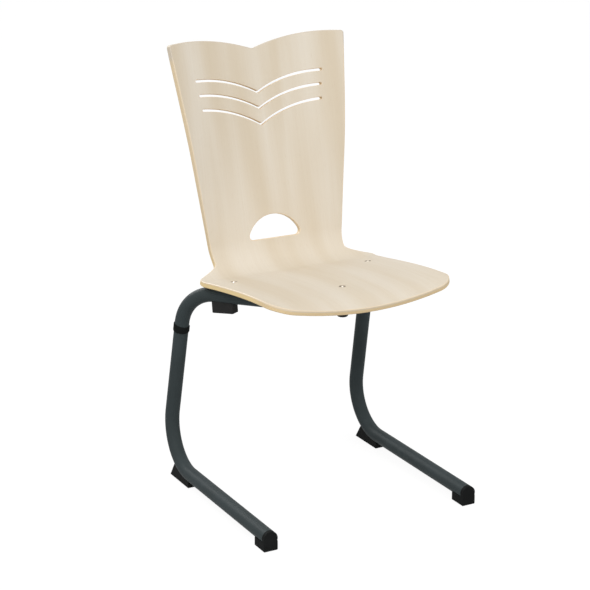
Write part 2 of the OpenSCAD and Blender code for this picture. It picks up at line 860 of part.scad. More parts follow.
module glide_screw_left() { glide_screw(-1); }
module glide_screw_right() { glide_screw(1); }

seat_shell();
frame_tube();
saddle_left();
saddle_right();
saddle_front();
seat_screw_left();
seat_screw_right();
seat_screw_front();
insert_nut_left();
insert_nut_right();
insert_nut_front();
bumper_left();
bumper_right();
bumper_front();
bumper_screw_left();
bumper_screw_right();
bumper_screw_front();
leg_sleeve_left();
leg_sleeve_right();
front_shoe_left();
front_shoe_right();
rear_glide_left();
rear_glide_right();
glide_screw_left();
glide_screw_right();
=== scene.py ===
import bmesh
import bpy
import numpy as np
from math import radians, sin, cos, tan, pi, sqrt
from mathutils import Vector, Matrix
from mathutils.geometry import delaunay_2d_cdt


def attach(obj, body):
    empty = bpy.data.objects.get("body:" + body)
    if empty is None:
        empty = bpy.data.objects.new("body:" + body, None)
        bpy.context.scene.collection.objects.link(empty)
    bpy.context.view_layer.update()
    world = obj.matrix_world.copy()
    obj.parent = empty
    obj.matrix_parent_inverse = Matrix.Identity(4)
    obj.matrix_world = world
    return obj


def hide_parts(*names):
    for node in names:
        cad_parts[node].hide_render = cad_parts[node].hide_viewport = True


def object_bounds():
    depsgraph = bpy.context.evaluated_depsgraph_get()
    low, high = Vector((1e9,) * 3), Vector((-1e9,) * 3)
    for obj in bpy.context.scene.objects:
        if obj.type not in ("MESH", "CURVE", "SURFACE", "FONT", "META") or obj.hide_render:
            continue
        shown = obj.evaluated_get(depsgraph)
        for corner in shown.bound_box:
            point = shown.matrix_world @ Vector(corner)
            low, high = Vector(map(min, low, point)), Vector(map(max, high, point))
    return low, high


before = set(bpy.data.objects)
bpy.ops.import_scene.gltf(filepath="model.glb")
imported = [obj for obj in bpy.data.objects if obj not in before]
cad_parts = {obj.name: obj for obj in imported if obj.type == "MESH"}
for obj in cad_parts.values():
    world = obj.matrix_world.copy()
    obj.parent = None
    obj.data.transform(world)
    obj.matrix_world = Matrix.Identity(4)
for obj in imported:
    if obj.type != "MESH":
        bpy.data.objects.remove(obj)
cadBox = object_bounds()
print("frame loaded, box", [[round(v, 4) for v in corner] for corner in cadBox])

# lengths are in metres; depths are counted from the front of the shoes and moved to the frame with this
chairFront = cadBox[0][1]


def placed(point):
    return Vector((point[0], point[1] + chairFront, point[2]))


def sideways(point, side):
    return Vector((point[0] * side, point[1], point[2]))


def unit(v):
    v = Vector(v)
    return v / v.length


# small makers that the pieces share

def makeObject(name, verts, faces, smooth=True):
    mesh = bpy.data.meshes.new(name)
    mesh.from_pydata([tuple(v) for v in verts], [], [tuple(f) for f in faces])
    mesh.validate()
    if smooth:
        mesh.polygons.foreach_set("use_smooth", [True] * len(mesh.polygons))
    obj = bpy.data.objects.new(name, mesh)
    bpy.context.scene.collection.objects.link(obj)
    return obj


# skins rings of the same count, and closes the ends unless the last ring joins the first
def skinRings(rings, closeEnd=True, loop=False):
    count = len(rings[0])
    verts = [p for ring in rings for p in ring]
    faces = []
    for i in range(len(rings) if loop else len(rings) - 1):
        a = i * count
        b = ((i + 1) % len(rings)) * count
        for k in range(count):
            n = (k + 1) % count
            faces.append((a + k, a + n, b + n, b + k))
    if not loop:
        faces.append(tuple(reversed(range(count))))
        if closeEnd:
            faces.append(tuple(range((len(rings) - 1) * count, len(rings) * count)))
    return verts, faces


def frameAt(origin, up, along):
    z = unit(up)
    x = unit(Vector(along) - Vector(along).dot(z) * z)
    y = z.cross(x)
    return Matrix(((x[0], y[0], z[0], origin[0]), (x[1], y[1], z[1], origin[1]),
                   (x[2], y[2], z[2], origin[2]), (0, 0, 0, 1)))


# a point given on a local frame, taken to its place on one side of the chair
def fromBase(base, x, y, z, side=1):
    return placed(sideways(base @ Vector((x, y, z)), side))


def fullTurn(count):
    return [2 * pi * k / count for k in range(count)]


# points of an arc between two angles in degrees
def arcPoints(x, y, r, start, end, steps):
    angles = [radians(start + (end - start) * k / steps) for k in range(steps + 1)]
    return [(x + r * cos(a), y + r * sin(a)) for a in angles]


# a turned solid on a local frame, from (radius, height) pairs
def turnedRings(base, profile, side, count=48):
    return [[fromBase(base, r * cos(a), r * sin(a), z, side) for a in fullTurn(count)] for r, z in profile]


def softenEdges(obj, width, segments=3, angle=35):
    bevel = obj.modifiers.new("rounded edges", "BEVEL")
    bevel.width = width
    bevel.segments = segments
    bevel.limit_method = "ANGLE"
    bevel.angle_limit = radians(angle)
    bevel.harden_normals = True


def turnOutward(obj):
    bm = bmesh.new()
    bm.from_mesh(obj.data)
    bmesh.ops.recalc_face_normals(bm, faces=bm.faces)
    bm.to_mesh(obj.data)
    bm.free()


# sinks a round recess for a screw from below, and keeps the result as the piece's own mesh
def cutRecess(obj, base, radius, low, high, side, count=32):
    rings = turnedRings(base, [(radius, low), (radius, high)], side, count)
    cutter = makeObject("cutter", *skinRings(rings))
    turnOutward(cutter)
    cut = obj.modifiers.new("recess", "BOOLEAN")
    cut.object = cutter
    cut.solver = "EXACT"
    bpy.context.view_layer.update()
    mesh = bpy.data.meshes.new_from_object(obj.evaluated_get(bpy.context.evaluated_depsgraph_get()))
    obj.modifiers.clear()
    obj.data = mesh
    bpy.data.objects.remove(cutter)


def finishPiece(obj, material, node):
    if not obj.data.materials:
        obj.data.materials.append(material)
    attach(obj, "root")
    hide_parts(node)


def makePair(make, name, node):
    for side, word in ((-1, "Left"), (1, "Right")):
        make(side, name + word, node + "_" + word.lower())


# shader helpers

def addNode(tree, kind, **settings):
    node = tree.nodes.new(kind)
    for key, value in settings.items():
        setattr(node, key, value)
    return node


# a socket of another node is linked, and anything else is set as the value
def fill(tree, socket, value):
    if isinstance(value, bpy.types.NodeSocket):
        tree.links.new(value, socket)
    else:
        socket.default_value = value


def feed(tree, node, **values):
    for key, value in values.items():
        fill(tree, node.inputs[key.replace("_", " ")], value)
    return node


# a group takes numbers, or a vector where none is given, and hands out numbers
def newGroup(name, inputs, outputs):
    tree = bpy.data.node_groups.new(name, "ShaderNodeTree")
    for label, value in inputs.items():
        kind = "NodeSocketVector" if value is None else "NodeSocketFloat"
        socket = tree.interface.new_socket(label, in_out="INPUT", socket_type=kind)
        if value is not None:
            socket.default_value = value
    for label in outputs:
        tree.interface.new_socket(label, in_out="OUTPUT", socket_type="NodeSocketFloat")
    return tree, addNode(tree, "NodeGroupInput").outputs, addNode(tree, "NodeGroupOutput")


def groupNode(tree, group, **values):
    return feed(tree, addNode(tree, "ShaderNodeGroup", node_tree=group), **values).outputs


def mathNode(tree, operation, *values):
    node = addNode(tree, "ShaderNodeMath", operation=operation)
    for socket, value in zip(node.inputs, values):
        fill(tree, socket, value)
    return node.outputs[0]


def vectorNode(tree, operation, a, b):
    node = addNode(tree, "ShaderNodeVectorMath", operation=operation)
    fill(tree, node.inputs[0], a)
    fill(tree, node.inputs[1], b)
    return node.outputs["Value" if operation == "DOT_PRODUCT" else "Vector"]


def rangeNode(tree, value, low, high, toLow=0.0, toHigh=1.0):
    node = addNode(tree, "ShaderNodeMapRange", interpolation_type="SMOOTHSTEP")
    feed(tree, node, Value=value, From_Min=low, From_Max=high, To_Min=toLow, To_Max=toHigh)
    return node.outputs["Result"]


def axisOf(tree, vector, axis):
    return feed(tree, addNode(tree, "ShaderNodeSeparateXYZ"), Vector=vector).outputs[axis]


def mixColours(tree, factor, a, b):
    node = addNode(tree, "ShaderNodeMix", data_type="RGBA")
    sockets = {s.identifier: s for s in node.inputs}
    for key, value in (("Factor_Float", factor), ("A_Color", a), ("B_Color", b)):
        fill(tree, sockets[key], value)
    return [s for s in node.outputs if s.identifier == "Result_Color"][0]


# lays a tint over a colour where a mask is, up to a share
def tinted(tree, colour, mask, share, tint):
    return mixColours(tree, mathNode(tree, "MULTIPLY", mask, share), colour, tint)


def noiseValue(tree, vector, scale=1.0, detail=2.0, roughness=0.5, distortion=0.0):
    node = addNode(tree, "ShaderNodeTexNoise")
    feed(tree, node, Vector=vector, Scale=scale, Detail=detail, Roughness=roughness, Distortion=distortion)
    return node.outputs["Fac"]


def sheetNoise(tree, vector, stretch, **shape):
    mapping = feed(tree, addNode(tree, "ShaderNodeMapping"), Vector=vector, Scale=stretch)
    return noiseValue(tree, mapping.outputs["Vector"], **shape)


def srgb(r, g, b):
    def linear(c):
        c = c / 255
        return c / 12.92 if c <= 0.04045 else ((c + 0.055) / 1.055) ** 2.4
    return (linear(r), linear(g), linear(b), 1.0)


def newMaterial(name):
    material = bpy.data.materials.new(name)
    material.use_nodes = True
    return material, material.node_tree, material.node_tree.nodes["Principled BSDF"]


# colour, roughness and bump join the shader by links, and what is the same all over is set on its sockets
def finishShader(tree, shader, look, colour, roughMask, bumpMask):
    bump = feed(tree, addNode(tree, "ShaderNodeBump"), Height=bumpMask, Strength=look["bump"],
                Distance=look["bumpDepth"])
    spread = mathNode(tree, "MULTIPLY", roughMask, look["roughSpread"])
    rough = mathNode(tree, "ADD", spread, look["roughness"])
    feed(tree, shader, Base_Color=colour, Roughness=rough, Normal=bump.outputs["Normal"],
         Metallic=look.get("metallic", 0.0), Specular_IOR_Level=look["specular"])


# A range is given as where it starts and ends, and then what it turns into there, if not 0 and 1.
# This one takes the middle of a noise.
noiseMiddle = (0.3, 0.7)

# grain of the face veneer, drawn along the sheet: x across it, y along it, z into it
grainForm = {
    "broad": dict(stretch=(11, 1.5, 1), detail=1.0, roughness=0.4, distortion=0.3),
    "narrow": dict(stretch=(22, 2.0, 1), detail=1.2, roughness=0.45, distortion=0.2),
    "streaks": dict(stretch=(330, 7, 1), detail=4.0, roughness=0.6, distortion=0.15),
    "flecks": dict(stretch=(900, 75, 1), detail=2.0, roughness=0.5, distortion=0.0),
    "broadShare": 0.42, "narrowShare": 0.58, "calmPan": (0.25, 0.55, 0.7, 1.0), "fleckRange": (0.62, 0.75),
}


def makeGrainGroup():
    f = grainForm
    tree, given, out = newGroup("veneerGrain", {"Sheet": None, "Seed": 0.0}, ["Bands", "Streaks", "Flecks"])
    seed = feed(tree, addNode(tree, "ShaderNodeCombineXYZ"), Z=given["Seed"]).outputs[0]
    sheet = vectorNode(tree, "ADD", vectorNode(tree, "MULTIPLY", given["Sheet"], (1, 1, 0)), seed)
    broad, narrow, streaks, flecks = [sheetNoise(tree, sheet, **f[key])
                                      for key in ("broad", "narrow", "streaks", "flecks")]
    bands = mathNode(tree, "ADD", mathNode(tree, "MULTIPLY", broad, f["broadShare"]),
                     mathNode(tree, "MULTIPLY", narrow, f["narrowShare"]))
    calm = rangeNode(tree, axisOf(tree, sheet, "Y"), *f["calmPan"])
    swing = mathNode(tree, "SUBTRACT", rangeNode(tree, bands, *noiseMiddle), 0.5)
    feed(tree, out, Bands=mathNode(tree, "ADD", mathNode(tree, "MULTIPLY", swing, calm), 0.5),
         Streaks=rangeNode(tree, streaks, *noiseMiddle), Flecks=rangeNode(tree, flecks, *f["fleckRange"]))
    return tree


# Layers of the plywood by depth: every second ply shows its end grain. The face ply laps over the rounded
# lip, deeper at the front edge, where its pale colour also paints the highlight of a rounder arris, and
# shows more up the back.
plyForm = {
    "lip": (0.0028, 0.0018), "frontLipAndHighlight": (0.02, 0.07, 0.0017, 0.0), "upBack": (0.36, 0.52, 0.0, 0.45),
    "topEdge": (0.785, 0.805, 0.0, 0.85), "panFront": (0.06, 0.12), "panRear": (0.42, 0.34),
    "wander": 0.00035, "wanderNoise": dict(stretch=(30, 30, 0), detail=1.0),
    "plyTurn": (0.47, 0.53), "glueLine": (0.4, 0.49),
    "fibreNoise": dict(stretch=(260, 260, 2200), detail=3.0, roughness=0.6),
}


def makePlyGroup():
    f = plyForm
    tree, given, out = newGroup("plyStack", {"Sheet": None, "Ply": 0.0012},
                                ["End Grain", "Glue Line", "Fibre", "Face Ply", "Top Edge", "Pan Side"])
    sheet = given["Sheet"]
    along, depth = axisOf(tree, sheet, "Y"), axisOf(tree, sheet, "Z")
    panSide = mathNode(tree, "MULTIPLY", rangeNode(tree, along, *f["panFront"]),
                       rangeNode(tree, along, *f["panRear"]))
    # deeper at the front: face veneer on the rounding, and a painted highlight of a rounder arris
    fromLip = mathNode(tree, "SUBTRACT", depth, rangeNode(tree, along, *f["frontLipAndHighlight"]))
    facePly = mathNode(tree, "MAXIMUM", rangeNode(tree, fromLip, *f["lip"]),
                       rangeNode(tree, along, *f["upBack"]))
    wander = mathNode(tree, "SUBTRACT", sheetNoise(tree, sheet, **f["wanderNoise"]), 0.5)
    offset = mathNode(tree, "MULTIPLY", wander, f["wander"])
    layer = mathNode(tree, "DIVIDE", mathNode(tree, "ADD", depth, offset), given["Ply"])
    saw = mathNode(tree, "FRACT", mathNode(tree, "MULTIPLY", layer, 0.5))
    near = mathNode(tree, "ABSOLUTE", mathNode(tree, "SUBTRACT", mathNode(tree, "FRACT", layer), 0.5))
    feed(tree, out, End_Grain=rangeNode(tree, saw, *f["plyTurn"]),
         Glue_Line=rangeNode(tree, near, *f["glueLine"]),
         Fibre=rangeNode(tree, sheetNoise(tree, sheet, **f["fibreNoise"]), *noiseMiddle),
         Face_Ply=facePly, Top_Edge=rangeNode(tree, along, *f["topEdge"]), Pan_Side=panSide)
    return tree


# unevenness that a coated or moulded surface keeps: a coarse cloud, a fine skin and some dust from above
skinForm = {
    "cloudDetail": 3.0, "skinDetail": 2.0, "skinRoughness": 0.55,
    "lying": (0.35, 1.0), "dusty": (0.35, 0.75),
}


def makeSkinGroup():
    f = skinForm
    tree, given, out = newGroup("coatedSkin", {"Cloud Size": 8.0, "Skin Size": 900.0},
                                ["Cloud", "Skin", "Dust"])
    place = addNode(tree, "ShaderNodeTexCoord").outputs["Object"]
    cloud = noiseValue(tree, place, given["Cloud Size"], f["cloudDetail"])
    normal = addNode(tree, "ShaderNodeNewGeometry").outputs["Normal"]
    lying = rangeNode(tree, axisOf(tree, normal, "Z"), *f["lying"])
    feed(tree, out, Cloud=rangeNode(tree, cloud, *noiseMiddle),
         Skin=noiseValue(tree, place, given["Skin Size"], f["skinDetail"], f["skinRoughness"]),
         Dust=mathNode(tree, "MULTIPLY", lying, rangeNode(tree, cloud, *f["dusty"])))
    return tree


# lighter rubbed places along outer edges, from how far a rounded normal leaves the real one
wearForm = {"samples": 6, "edge": (0.995, 0.9), "patchDetail": 4.0, "patches": (0.4, 0.65)}


def makeWearGroup():
    f = wearForm
    tree, given, out = newGroup("rubbedEdges", {"Radius": 0.001, "Patch Size": 60.0}, ["Rubbed"])
    rounded = feed(tree, addNode(tree, "ShaderNodeBevel", samples=f["samples"]), Radius=given["Radius"])
    real = addNode(tree, "ShaderNodeNewGeometry").outputs["Normal"]
    edge = rangeNode(tree, vectorNode(tree, "DOT_PRODUCT", rounded.outputs["Normal"], real), *f["edge"])
    place = addNode(tree, "ShaderNodeTexCoord").outputs["Object"]
    patches = rangeNode(tree, noiseValue(tree, place, given["Patch Size"], f["patchDetail"]), *f["patches"])
    feed(tree, out, Rubbed=mathNode(tree, "MULTIPLY", edge, patches))
    return tree


veneerGrain = makeGrainGroup()
plyStack = makePlyGroup()
coatedSkin = makeSkinGroup()
rubbedEdges = makeWearGroup()

veneerLook = {
    "pale": srgb(232, 223, 208), "warm": srgb(220, 206, 183), "seed": 3.7,
    "streak": srgb(208, 188, 158), "streakShare": 0.1, "fleck": srgb(194, 170, 136), "fleckShare": 0.16,
    "roughness": 0.46, "roughSpread": 0.08, "specular": 0.18, "bump": 0.06, "bumpDepth": 0.0002,
    "coat": 0.06, "coatRoughness": 0.35,
}


def makeVeneer():
    look = veneerLook
    material, tree, shader = newMaterial("lacqueredVeneer")
    sheet = addNode(tree, "ShaderNodeAttribute", attribute_name="sheet").outputs["Vector"]
    grain = groupNode(tree, veneerGrain, Sheet=sheet, Seed=look["seed"])
    colour = mixColours(tree, grain["Bands"], look["pale"], look["warm"])
    colour = tinted(tree, colour, grain["Streaks"], look["streakShare"], look["streak"])
    colour = tinted(tree, colour, grain["Flecks"], look["fleckShare"], look["fleck"])
    finishShader(tree, shader, look, colour, grain["Streaks"], grain["Streaks"])
    feed(tree, shader, Coat_Weight=look["coat"], Coat_Roughness=look["coatRoughness"])
    return material


edgeLook = {
    "longGrain": srgb(244, 222, 180), "endGrain": srgb(234, 206, 158), "ply": 0.00122,
    "glue": srgb(208, 170, 120), "fibreShare": 0.2, "glueShare": 0.4,
    "panSide": srgb(255, 226, 160), "panSideShare": 0.6,
    # the top ply colour is darker than the rest of the edge, a painted shade against the stronger light on
    # the upward top edge
    "facePly": srgb(234, 216, 188), "topEdgePaintedShade": srgb(214, 203, 186),
    "roughness": 0.5, "roughSpread": 0.15, "specular": 0.35, "bump": 0.25, "bumpDepth": 0.0001,
}


def makePlyEdge():
    look = edgeLook
    material, tree, shader = newMaterial("pliesAtEdge")
    sheet = addNode(tree, "ShaderNodeAttribute", attribute_name="sheet").outputs["Vector"]
    stack = groupNode(tree, plyStack, Sheet=sheet, Ply=look["ply"])
    colour = mixColours(tree, stack["End Grain"], look["longGrain"], look["endGrain"])
    colour = tinted(tree, colour, stack["Fibre"], look["fibreShare"], look["glue"])
    colour = tinted(tree, colour, stack["Glue Line"], look["glueShare"], look["glue"])
    colour = tinted(tree, colour, stack["Pan Side"], look["panSideShare"], look["panSide"])
    colour = mixColours(tree, stack["Face Ply"], colour, look["facePly"])
    # the top edge is darkened with that colour: painted shade
    colour = mixColours(tree, stack["Top Edge"], colour, look["topEdgePaintedShade"])
    finishShader(tree, shader, look, colour, stack["End Grain"], stack["Fibre"])
    return material


# colours of one finish: its base, a cloud in it, its rubbed edges, and dust where any lies
def tones(*colours):
    return dict(zip(("base", "cloud", "rubbed", "dust"), [srgb(*c) for c in colours]))


# paint, moulded plastic and zinc share one build; zinc gathers no dust
def makeCoated(name, look):
    material, tree, shader = newMaterial(name)
    skin = groupNode(tree, coatedSkin, Cloud_Size=look["cloudSize"], Skin_Size=look["skinSize"])
    wear = groupNode(tree, rubbedEdges, Radius=look["edgeRadius"], Patch_Size=look["patchSize"])
    colour = mixColours(tree, skin["Cloud"], look["base"], look["cloud"])
    if "dust" in look:
        colour = tinted(tree, colour, skin["Dust"], look["dustShare"], look["dust"])
    colour = tinted(tree, colour, wear["Rubbed"], look["rubbedShare"], look["rubbed"])
    finishShader(tree, shader, look, colour, skin["Cloud"], skin["Skin"])
    return material


tubeLook = {
    **tones((62, 69, 70), (67, 75, 77), (92, 99, 101), (84, 90, 91)),
    "cloudSize": 9.0, "skinSize": 1400.0, "edgeRadius": 0.0012, "patchSize": 70.0,
    "dustShare": 0.12, "rubbedShare": 0.4, "roughness": 0.38, "roughSpread": 0.08,
    "specular": 0.025, "bump": 0.18, "bumpDepth": 0.00012,
}
# black for what the tube stands on, a deeper one for the sleeves, and a lighter one for the bumpers:
# painted light against the seat's shadow on them, with rubbed edges that are wear and a painted highlight
plasticLook = {
    **tones((31, 32, 32), (36, 37, 37), (54, 55, 55), (48, 49, 49)),
    "cloudSize": 30.0, "skinSize": 2600.0, "edgeRadius": 0.0009, "patchSize": 140.0,
    "dustShare": 0.15, "rubbedShare": 0.5, "roughness": 0.45, "roughSpread": 0.1,
    "specular": 0.01, "bump": 0.25, "bumpDepth": 0.00012,
}
sleeveLook = {**plasticLook, **tones((27, 29, 29), (32, 34, 34), (48, 50, 50), (42, 44, 44))}
# the bumpers' lighter base is painted light, and their lighter rubbed edges are wear and a painted
# highlight
bumperPaintedLightLook = {**plasticLook, **tones((51, 51, 51), (56, 56, 56), (90, 90, 88), (66, 66, 65))}
# zinc: the middle of a seat screw is painted bright as a highlight, the rest of it painted darker as the
# shade in its recess, and dull zinc is on what is not seen
zincLook = {
    "cloudSize": 260.0, "skinSize": 4200.0, "edgeRadius": 0.0004, "patchSize": 400.0,
    "rubbedShare": 0.6, "roughSpread": 0.12, "specular": 0.5, "metallic": 1.0,
    "bump": 0.1, "bumpDepth": 0.00005,
}
zincRubbed = (236, 236, 234)
paintedHighlightLook = {**zincLook, **tones((250, 244, 232), (240, 232, 216), zincRubbed), "roughness": 0.3}
paintedShadeLook = {**zincLook, **tones((158, 147, 133), (142, 131, 117), zincRubbed), "roughness": 0.34}
dullLook = {**zincLook, **tones((172, 170, 160), (140, 140, 134), zincRubbed), "roughness": 0.4}

veneer = makeVeneer()
plyEdge = makePlyEdge()
powderCoat = makeCoated("slatePowderCoat", tubeLook)
plastic = makeCoated("mouldedBlackPlastic", plasticLook)
sleevePlastic = makeCoated("deeperBlackPlastic", sleeveLook)
bumperPaintedLightPlastic = makeCoated("blackPlasticPaintedLighter", bumperPaintedLightLook)
paintedHighlightZinc = makeCoated("paintedHighlightZinc", paintedHighlightLook)
paintedShadeZinc = makeCoated("paintedShadeZinc", paintedShadeLook)
dullZinc = makeCoated("dullZinc", dullLook)
print("materials made")

# the moulded shell
shellForm = {
    # profile along the middle, from the front lip to the top of the back
    "width": 0.398, "ply": 0.011, "frontY": 0.009, "frontZ": 0.4495,
    "lipLength": 0.087, "lipAngle": 14, "crownAngle": -1,
    "panLength": 0.232, "panAngle": 9, "bendRadius": 0.068,
    "lumbarLength": 0.096, "lumbarAngle": 79, "backLength": 0.311, "backAngle": 75,
    # dish across the sheet, as shares of its width
    "dishShares": [0.0467, 0.0286, 0.0067, 0.0397, 0.0537, 0.0965, 0.0874],
    "dishTurnShare": 0.6, "dishFullShare": 2.1,
    # outline of the blank
    "topWidth": 0.399, "waistWidth": 0.296, "frontCorner": 0.041, "frontBow": 0.950, "topCorner": 0.0052,
    "lobe": 0.390, "crestX": 0.134, "notchRound": 0.003,
    "waistShare": 0.45, "earOut": 0.002, "earRunShare": 0.2,
    "waistRound": 0.0085, "earRound": 0.005, "flareSlope": 1.55,
    # hand hole, slots and screw holes
    "holeRadius": 0.063, "holeHeight": 0.0485, "holeCorner": 0.0085, "holeDrop": 0.0045,
    "slotHeight": 0.0055, "slotPitch": 0.0295, "slotDrop": 0.080, "slotHalf": 0.145, "wingRadius": 0.265,
    "slotFlatShares": [0.88, 0.915, 0.96], "slotHalfShares": [1, 0.967, 0.945],
    "screwSpots": [(0.279, -0.153), (0.279, 0.153), (0.117, 0.0)],
    "screwRim": 0.0144, "rimDepth": 0.0009, "screwHead": 0.0131, "screwShank": 0.0066, "screwSink": 0.0041,
    # rounding of the edges
    "edgeRound": 0.0019, "holeRound": 0.0018, "slotRound": 0.0007, "roundSteps": 5,
    # how finely the sheet is drawn: its grid, the steps along its sides, the points on its curves
    "gridAcross": 0.008, "gridAlong": 0.005, "gridHalf": 0.208, "gridPast": 0.01,
    "edgeGap": 0.0026, "holeGap": 0.0022, "sideStep": 0.008, "bendStep": 0.0025,
    "pastBend": 0.02, "pastCorner": 0.006, "underCorner": 0.004,
    "frontPoints": 30, "frontTurn": 17, "topPoints": 60, "topTurn": 13,
    "slotPoints": 49, "archPoints": 49, "smallTurn": 9, "sillPoints": 16, "circlePoints": 40,
    # small steps, the limit at sharp corners, and what counts as straight, joined or nothing
    "hair": 0.0001, "slopeStep": 0.0005, "leastSpread": 0.6,
    "straight": 1e-6, "joined": 1e-9, "tiny": 1e-12,
}

bendLength = shellForm["bendRadius"] * radians(shellForm["lumbarAngle"] + shellForm["panAngle"])
runLengths = np.array([shellForm["lipLength"], shellForm["panLength"], bendLength,
                       shellForm["lumbarLength"], shellForm["backLength"]])
runEnds = np.radians([shellForm["crownAngle"], -shellForm["panAngle"], shellForm["lumbarAngle"],
                      shellForm["backAngle"], shellForm["backAngle"]])
runFroms = np.concatenate([[radians(shellForm["lipAngle"])], runEnds[:-1]])
runStarts = np.concatenate([[0], np.cumsum(runLengths)[:-1]])
bendEndS = runStarts[3]
crestS = float(np.sum(runLengths))


def arcMove(length, start, end):
    if abs(end - start) < shellForm["straight"]:
        return np.array([length * cos(start), length * sin(start)])
    r = length / (end - start)
    return r * np.array([sin(end) - sin(start), cos(start) - cos(end)])


runPoints = [np.array([shellForm["frontY"], shellForm["frontZ"]])]
for runLength, runFrom, runEnd in zip(runLengths, runFroms, runEnds):
    runPoints.append(runPoints[-1] + arcMove(runLength, runFrom, runEnd))
runPoints = np.array(runPoints)


# depth, height and heading of the profile, s along it from the front edge
def profileAt(s):
    i = np.clip(np.searchsorted(runStarts, s, side="right") - 1, 0, len(runLengths) - 1)
    along = s - runStarts[i]
    curve = (runEnds[i] - runFroms[i]) / runLengths[i]
    heading = runFroms[i] + curve * along
    bent = np.abs(curve) > shellForm["straight"]
    safe = np.where(bent, curve, 1)
    y = np.where(bent, (np.sin(heading) - np.sin(runFroms[i])) / safe, np.cos(runFroms[i]) * along)
    z = np.where(bent, (np.cos(runFroms[i]) - np.cos(heading)) / safe, np.sin(runFroms[i]) * along)
    return runPoints[i, 0] + y, runPoints[i, 1] + z, heading


dishStations = np.array([0, runStarts[1], runStarts[2], bendEndS,
                         bendEndS + shellForm["lumbarLength"] * shellForm["dishTurnShare"],
                         bendEndS + shellForm["lumbarLength"] * shellForm["dishFullShare"], crestS])
dishDepths = np.array(shellForm["dishShares"]) * shellForm["width"]
dishSlopes = np.zeros(len(dishDepths))
dishSlopes[1:-1] = (dishDepths[2:] - dishDepths[:-2]) / (dishStations[2:] - dishStations[:-2])


# how far a full-width shell's sides rise over its middle, on a smooth curve through the stations
def dishAt(s):
    i = np.clip(np.searchsorted(dishStations, s, side="left") - 1, 0, len(dishStations) - 2)
    span = dishStations[i + 1] - dishStations[i]
    t = np.clip((s - dishStations[i]) / span, 0, 1)
    return ((2 * t ** 3 - 3 * t ** 2 + 1) * dishDepths[i] + (t ** 3 - 2 * t ** 2 + t) * span * dishSlopes[i]
            + (3 * t ** 2 - 2 * t ** 3) * dishDepths[i + 1] + (t ** 3 - t ** 2) * span * dishSlopes[i + 1])


# a point of the sitting side: s runs along the profile, x across
def shellPoint(s, x):
    y, z, heading = profileAt(s)
    rise = dishAt(s) * (2 * x / shellForm["width"]) ** 2
    return np.stack([x, y - rise * np.sin(heading) + chairFront, z + rise * np.cos(heading)], -1)


def shellFrame(s, x):
    step = shellForm["slopeStep"]
    across = shellPoint(s, x + step) - shellPoint(s, x - step)
    along = shellPoint(s + step, x) - shellPoint(s - step, x)
    across /= np.linalg.norm(across, axis=-1, keepdims=True)
    along /= np.linalg.norm(along, axis=-1, keepdims=True)
    normal = np.cross(across, along)
    return across, along, normal / np.linalg.norm(normal, axis=-1, keepdims=True)


def ease(t):
    t = np.clip(t, 0, 1)
    return t * t * (3 - 2 * t)


def softMax(a, b, k):
    return (a + b + np.sqrt((a - b) ** 2 + k ** 2)) / 2


def softMin(a, b, k):
    return (a + b - np.sqrt((a - b) ** 2 + k ** 2)) / 2


waistS = bendEndS - bendLength * shellForm["waistShare"]
earS = shellForm["lipLength"] + shellForm["panLength"]
earStartS = earS - shellForm["panLength"] * shellForm["earRunShare"]
flareS = waistS - shellForm["earOut"] * 2
backSlope = (shellForm["topWidth"] - shellForm["waistWidth"]) / 2 / (crestS - waistS)


def sideHalf(s):
    f = shellForm
    seat = f["width"] / 2 + f["earOut"] * ease((s - earStartS) / (earS - earStartS))
    back = f["waistWidth"] / 2 + (s - waistS) * backSlope
    flare = f["waistWidth"] / 2 + (flareS - s) * f["flareSlope"]
    return softMin(seat, softMax(flare, back, f["waistRound"]), f["earRound"])


# bows the front edge and gives the top edge its two lobes
def edgeShift(s, x):
    f = shellForm
    bow = f["frontBow"] - np.sqrt(f["frontBow"] ** 2 - x ** 2)
    reach = np.sqrt(x ** 2 + f["notchRound"] ** 2) - f["crestX"]
    lobe = f["lobe"] - np.sqrt(f["lobe"] ** 2 - reach ** 2)
    return (bow * (1 - ease(s / (f["lipLength"] + f["frontCorner"])))
            - lobe * (1 - ease((crestS - s) / f["slotDrop"])))


# outline of the blank, once round, as (x, s)
def blankLoop():
    def corner(edge, inward, r, turns):
        a = np.radians(turns)
        rows = edge + inward * r * (1 - np.cos(a))
        return np.stack([sideHalf(edge + inward * r) - r * (1 - np.sin(a)), rows], -1)
    f = shellForm
    front, top = f["frontCorner"], f["topCorner"]
    frontX = float(sideHalf(front)) - front
    topX = float(sideHalf(crestS - top)) - top
    pastBend = bendEndS + f["pastBend"]
    steps = np.concatenate([np.arange(front + f["pastCorner"], earStartS, f["sideStep"]),
                            np.arange(earStartS, pastBend, f["bendStep"]),
                            np.arange(pastBend, crestS - top - f["underCorner"], f["sideStep"])])
    frontRun = np.linspace(0, frontX, f["frontPoints"])[:-1]
    topRun = np.linspace(topX, 0, f["topPoints"])[1:]
    right = np.concatenate([
        np.stack([frontRun, np.zeros(len(frontRun))], -1),
        corner(0, 1, front, np.linspace(0, 90, f["frontTurn"])),
        np.stack([sideHalf(steps), steps], -1),
        corner(crestS, -1, top, np.linspace(90, 0, f["topTurn"])),
        np.stack([topRun, np.full(len(topRun), crestS)], -1)])
    left = right[1:-1][::-1] * [-1, 1]
    loop = np.concatenate([right, left])
    return np.stack([loop[:, 0], loop[:, 1] + edgeShift(loop[:, 1], loop[:, 0])], -1)


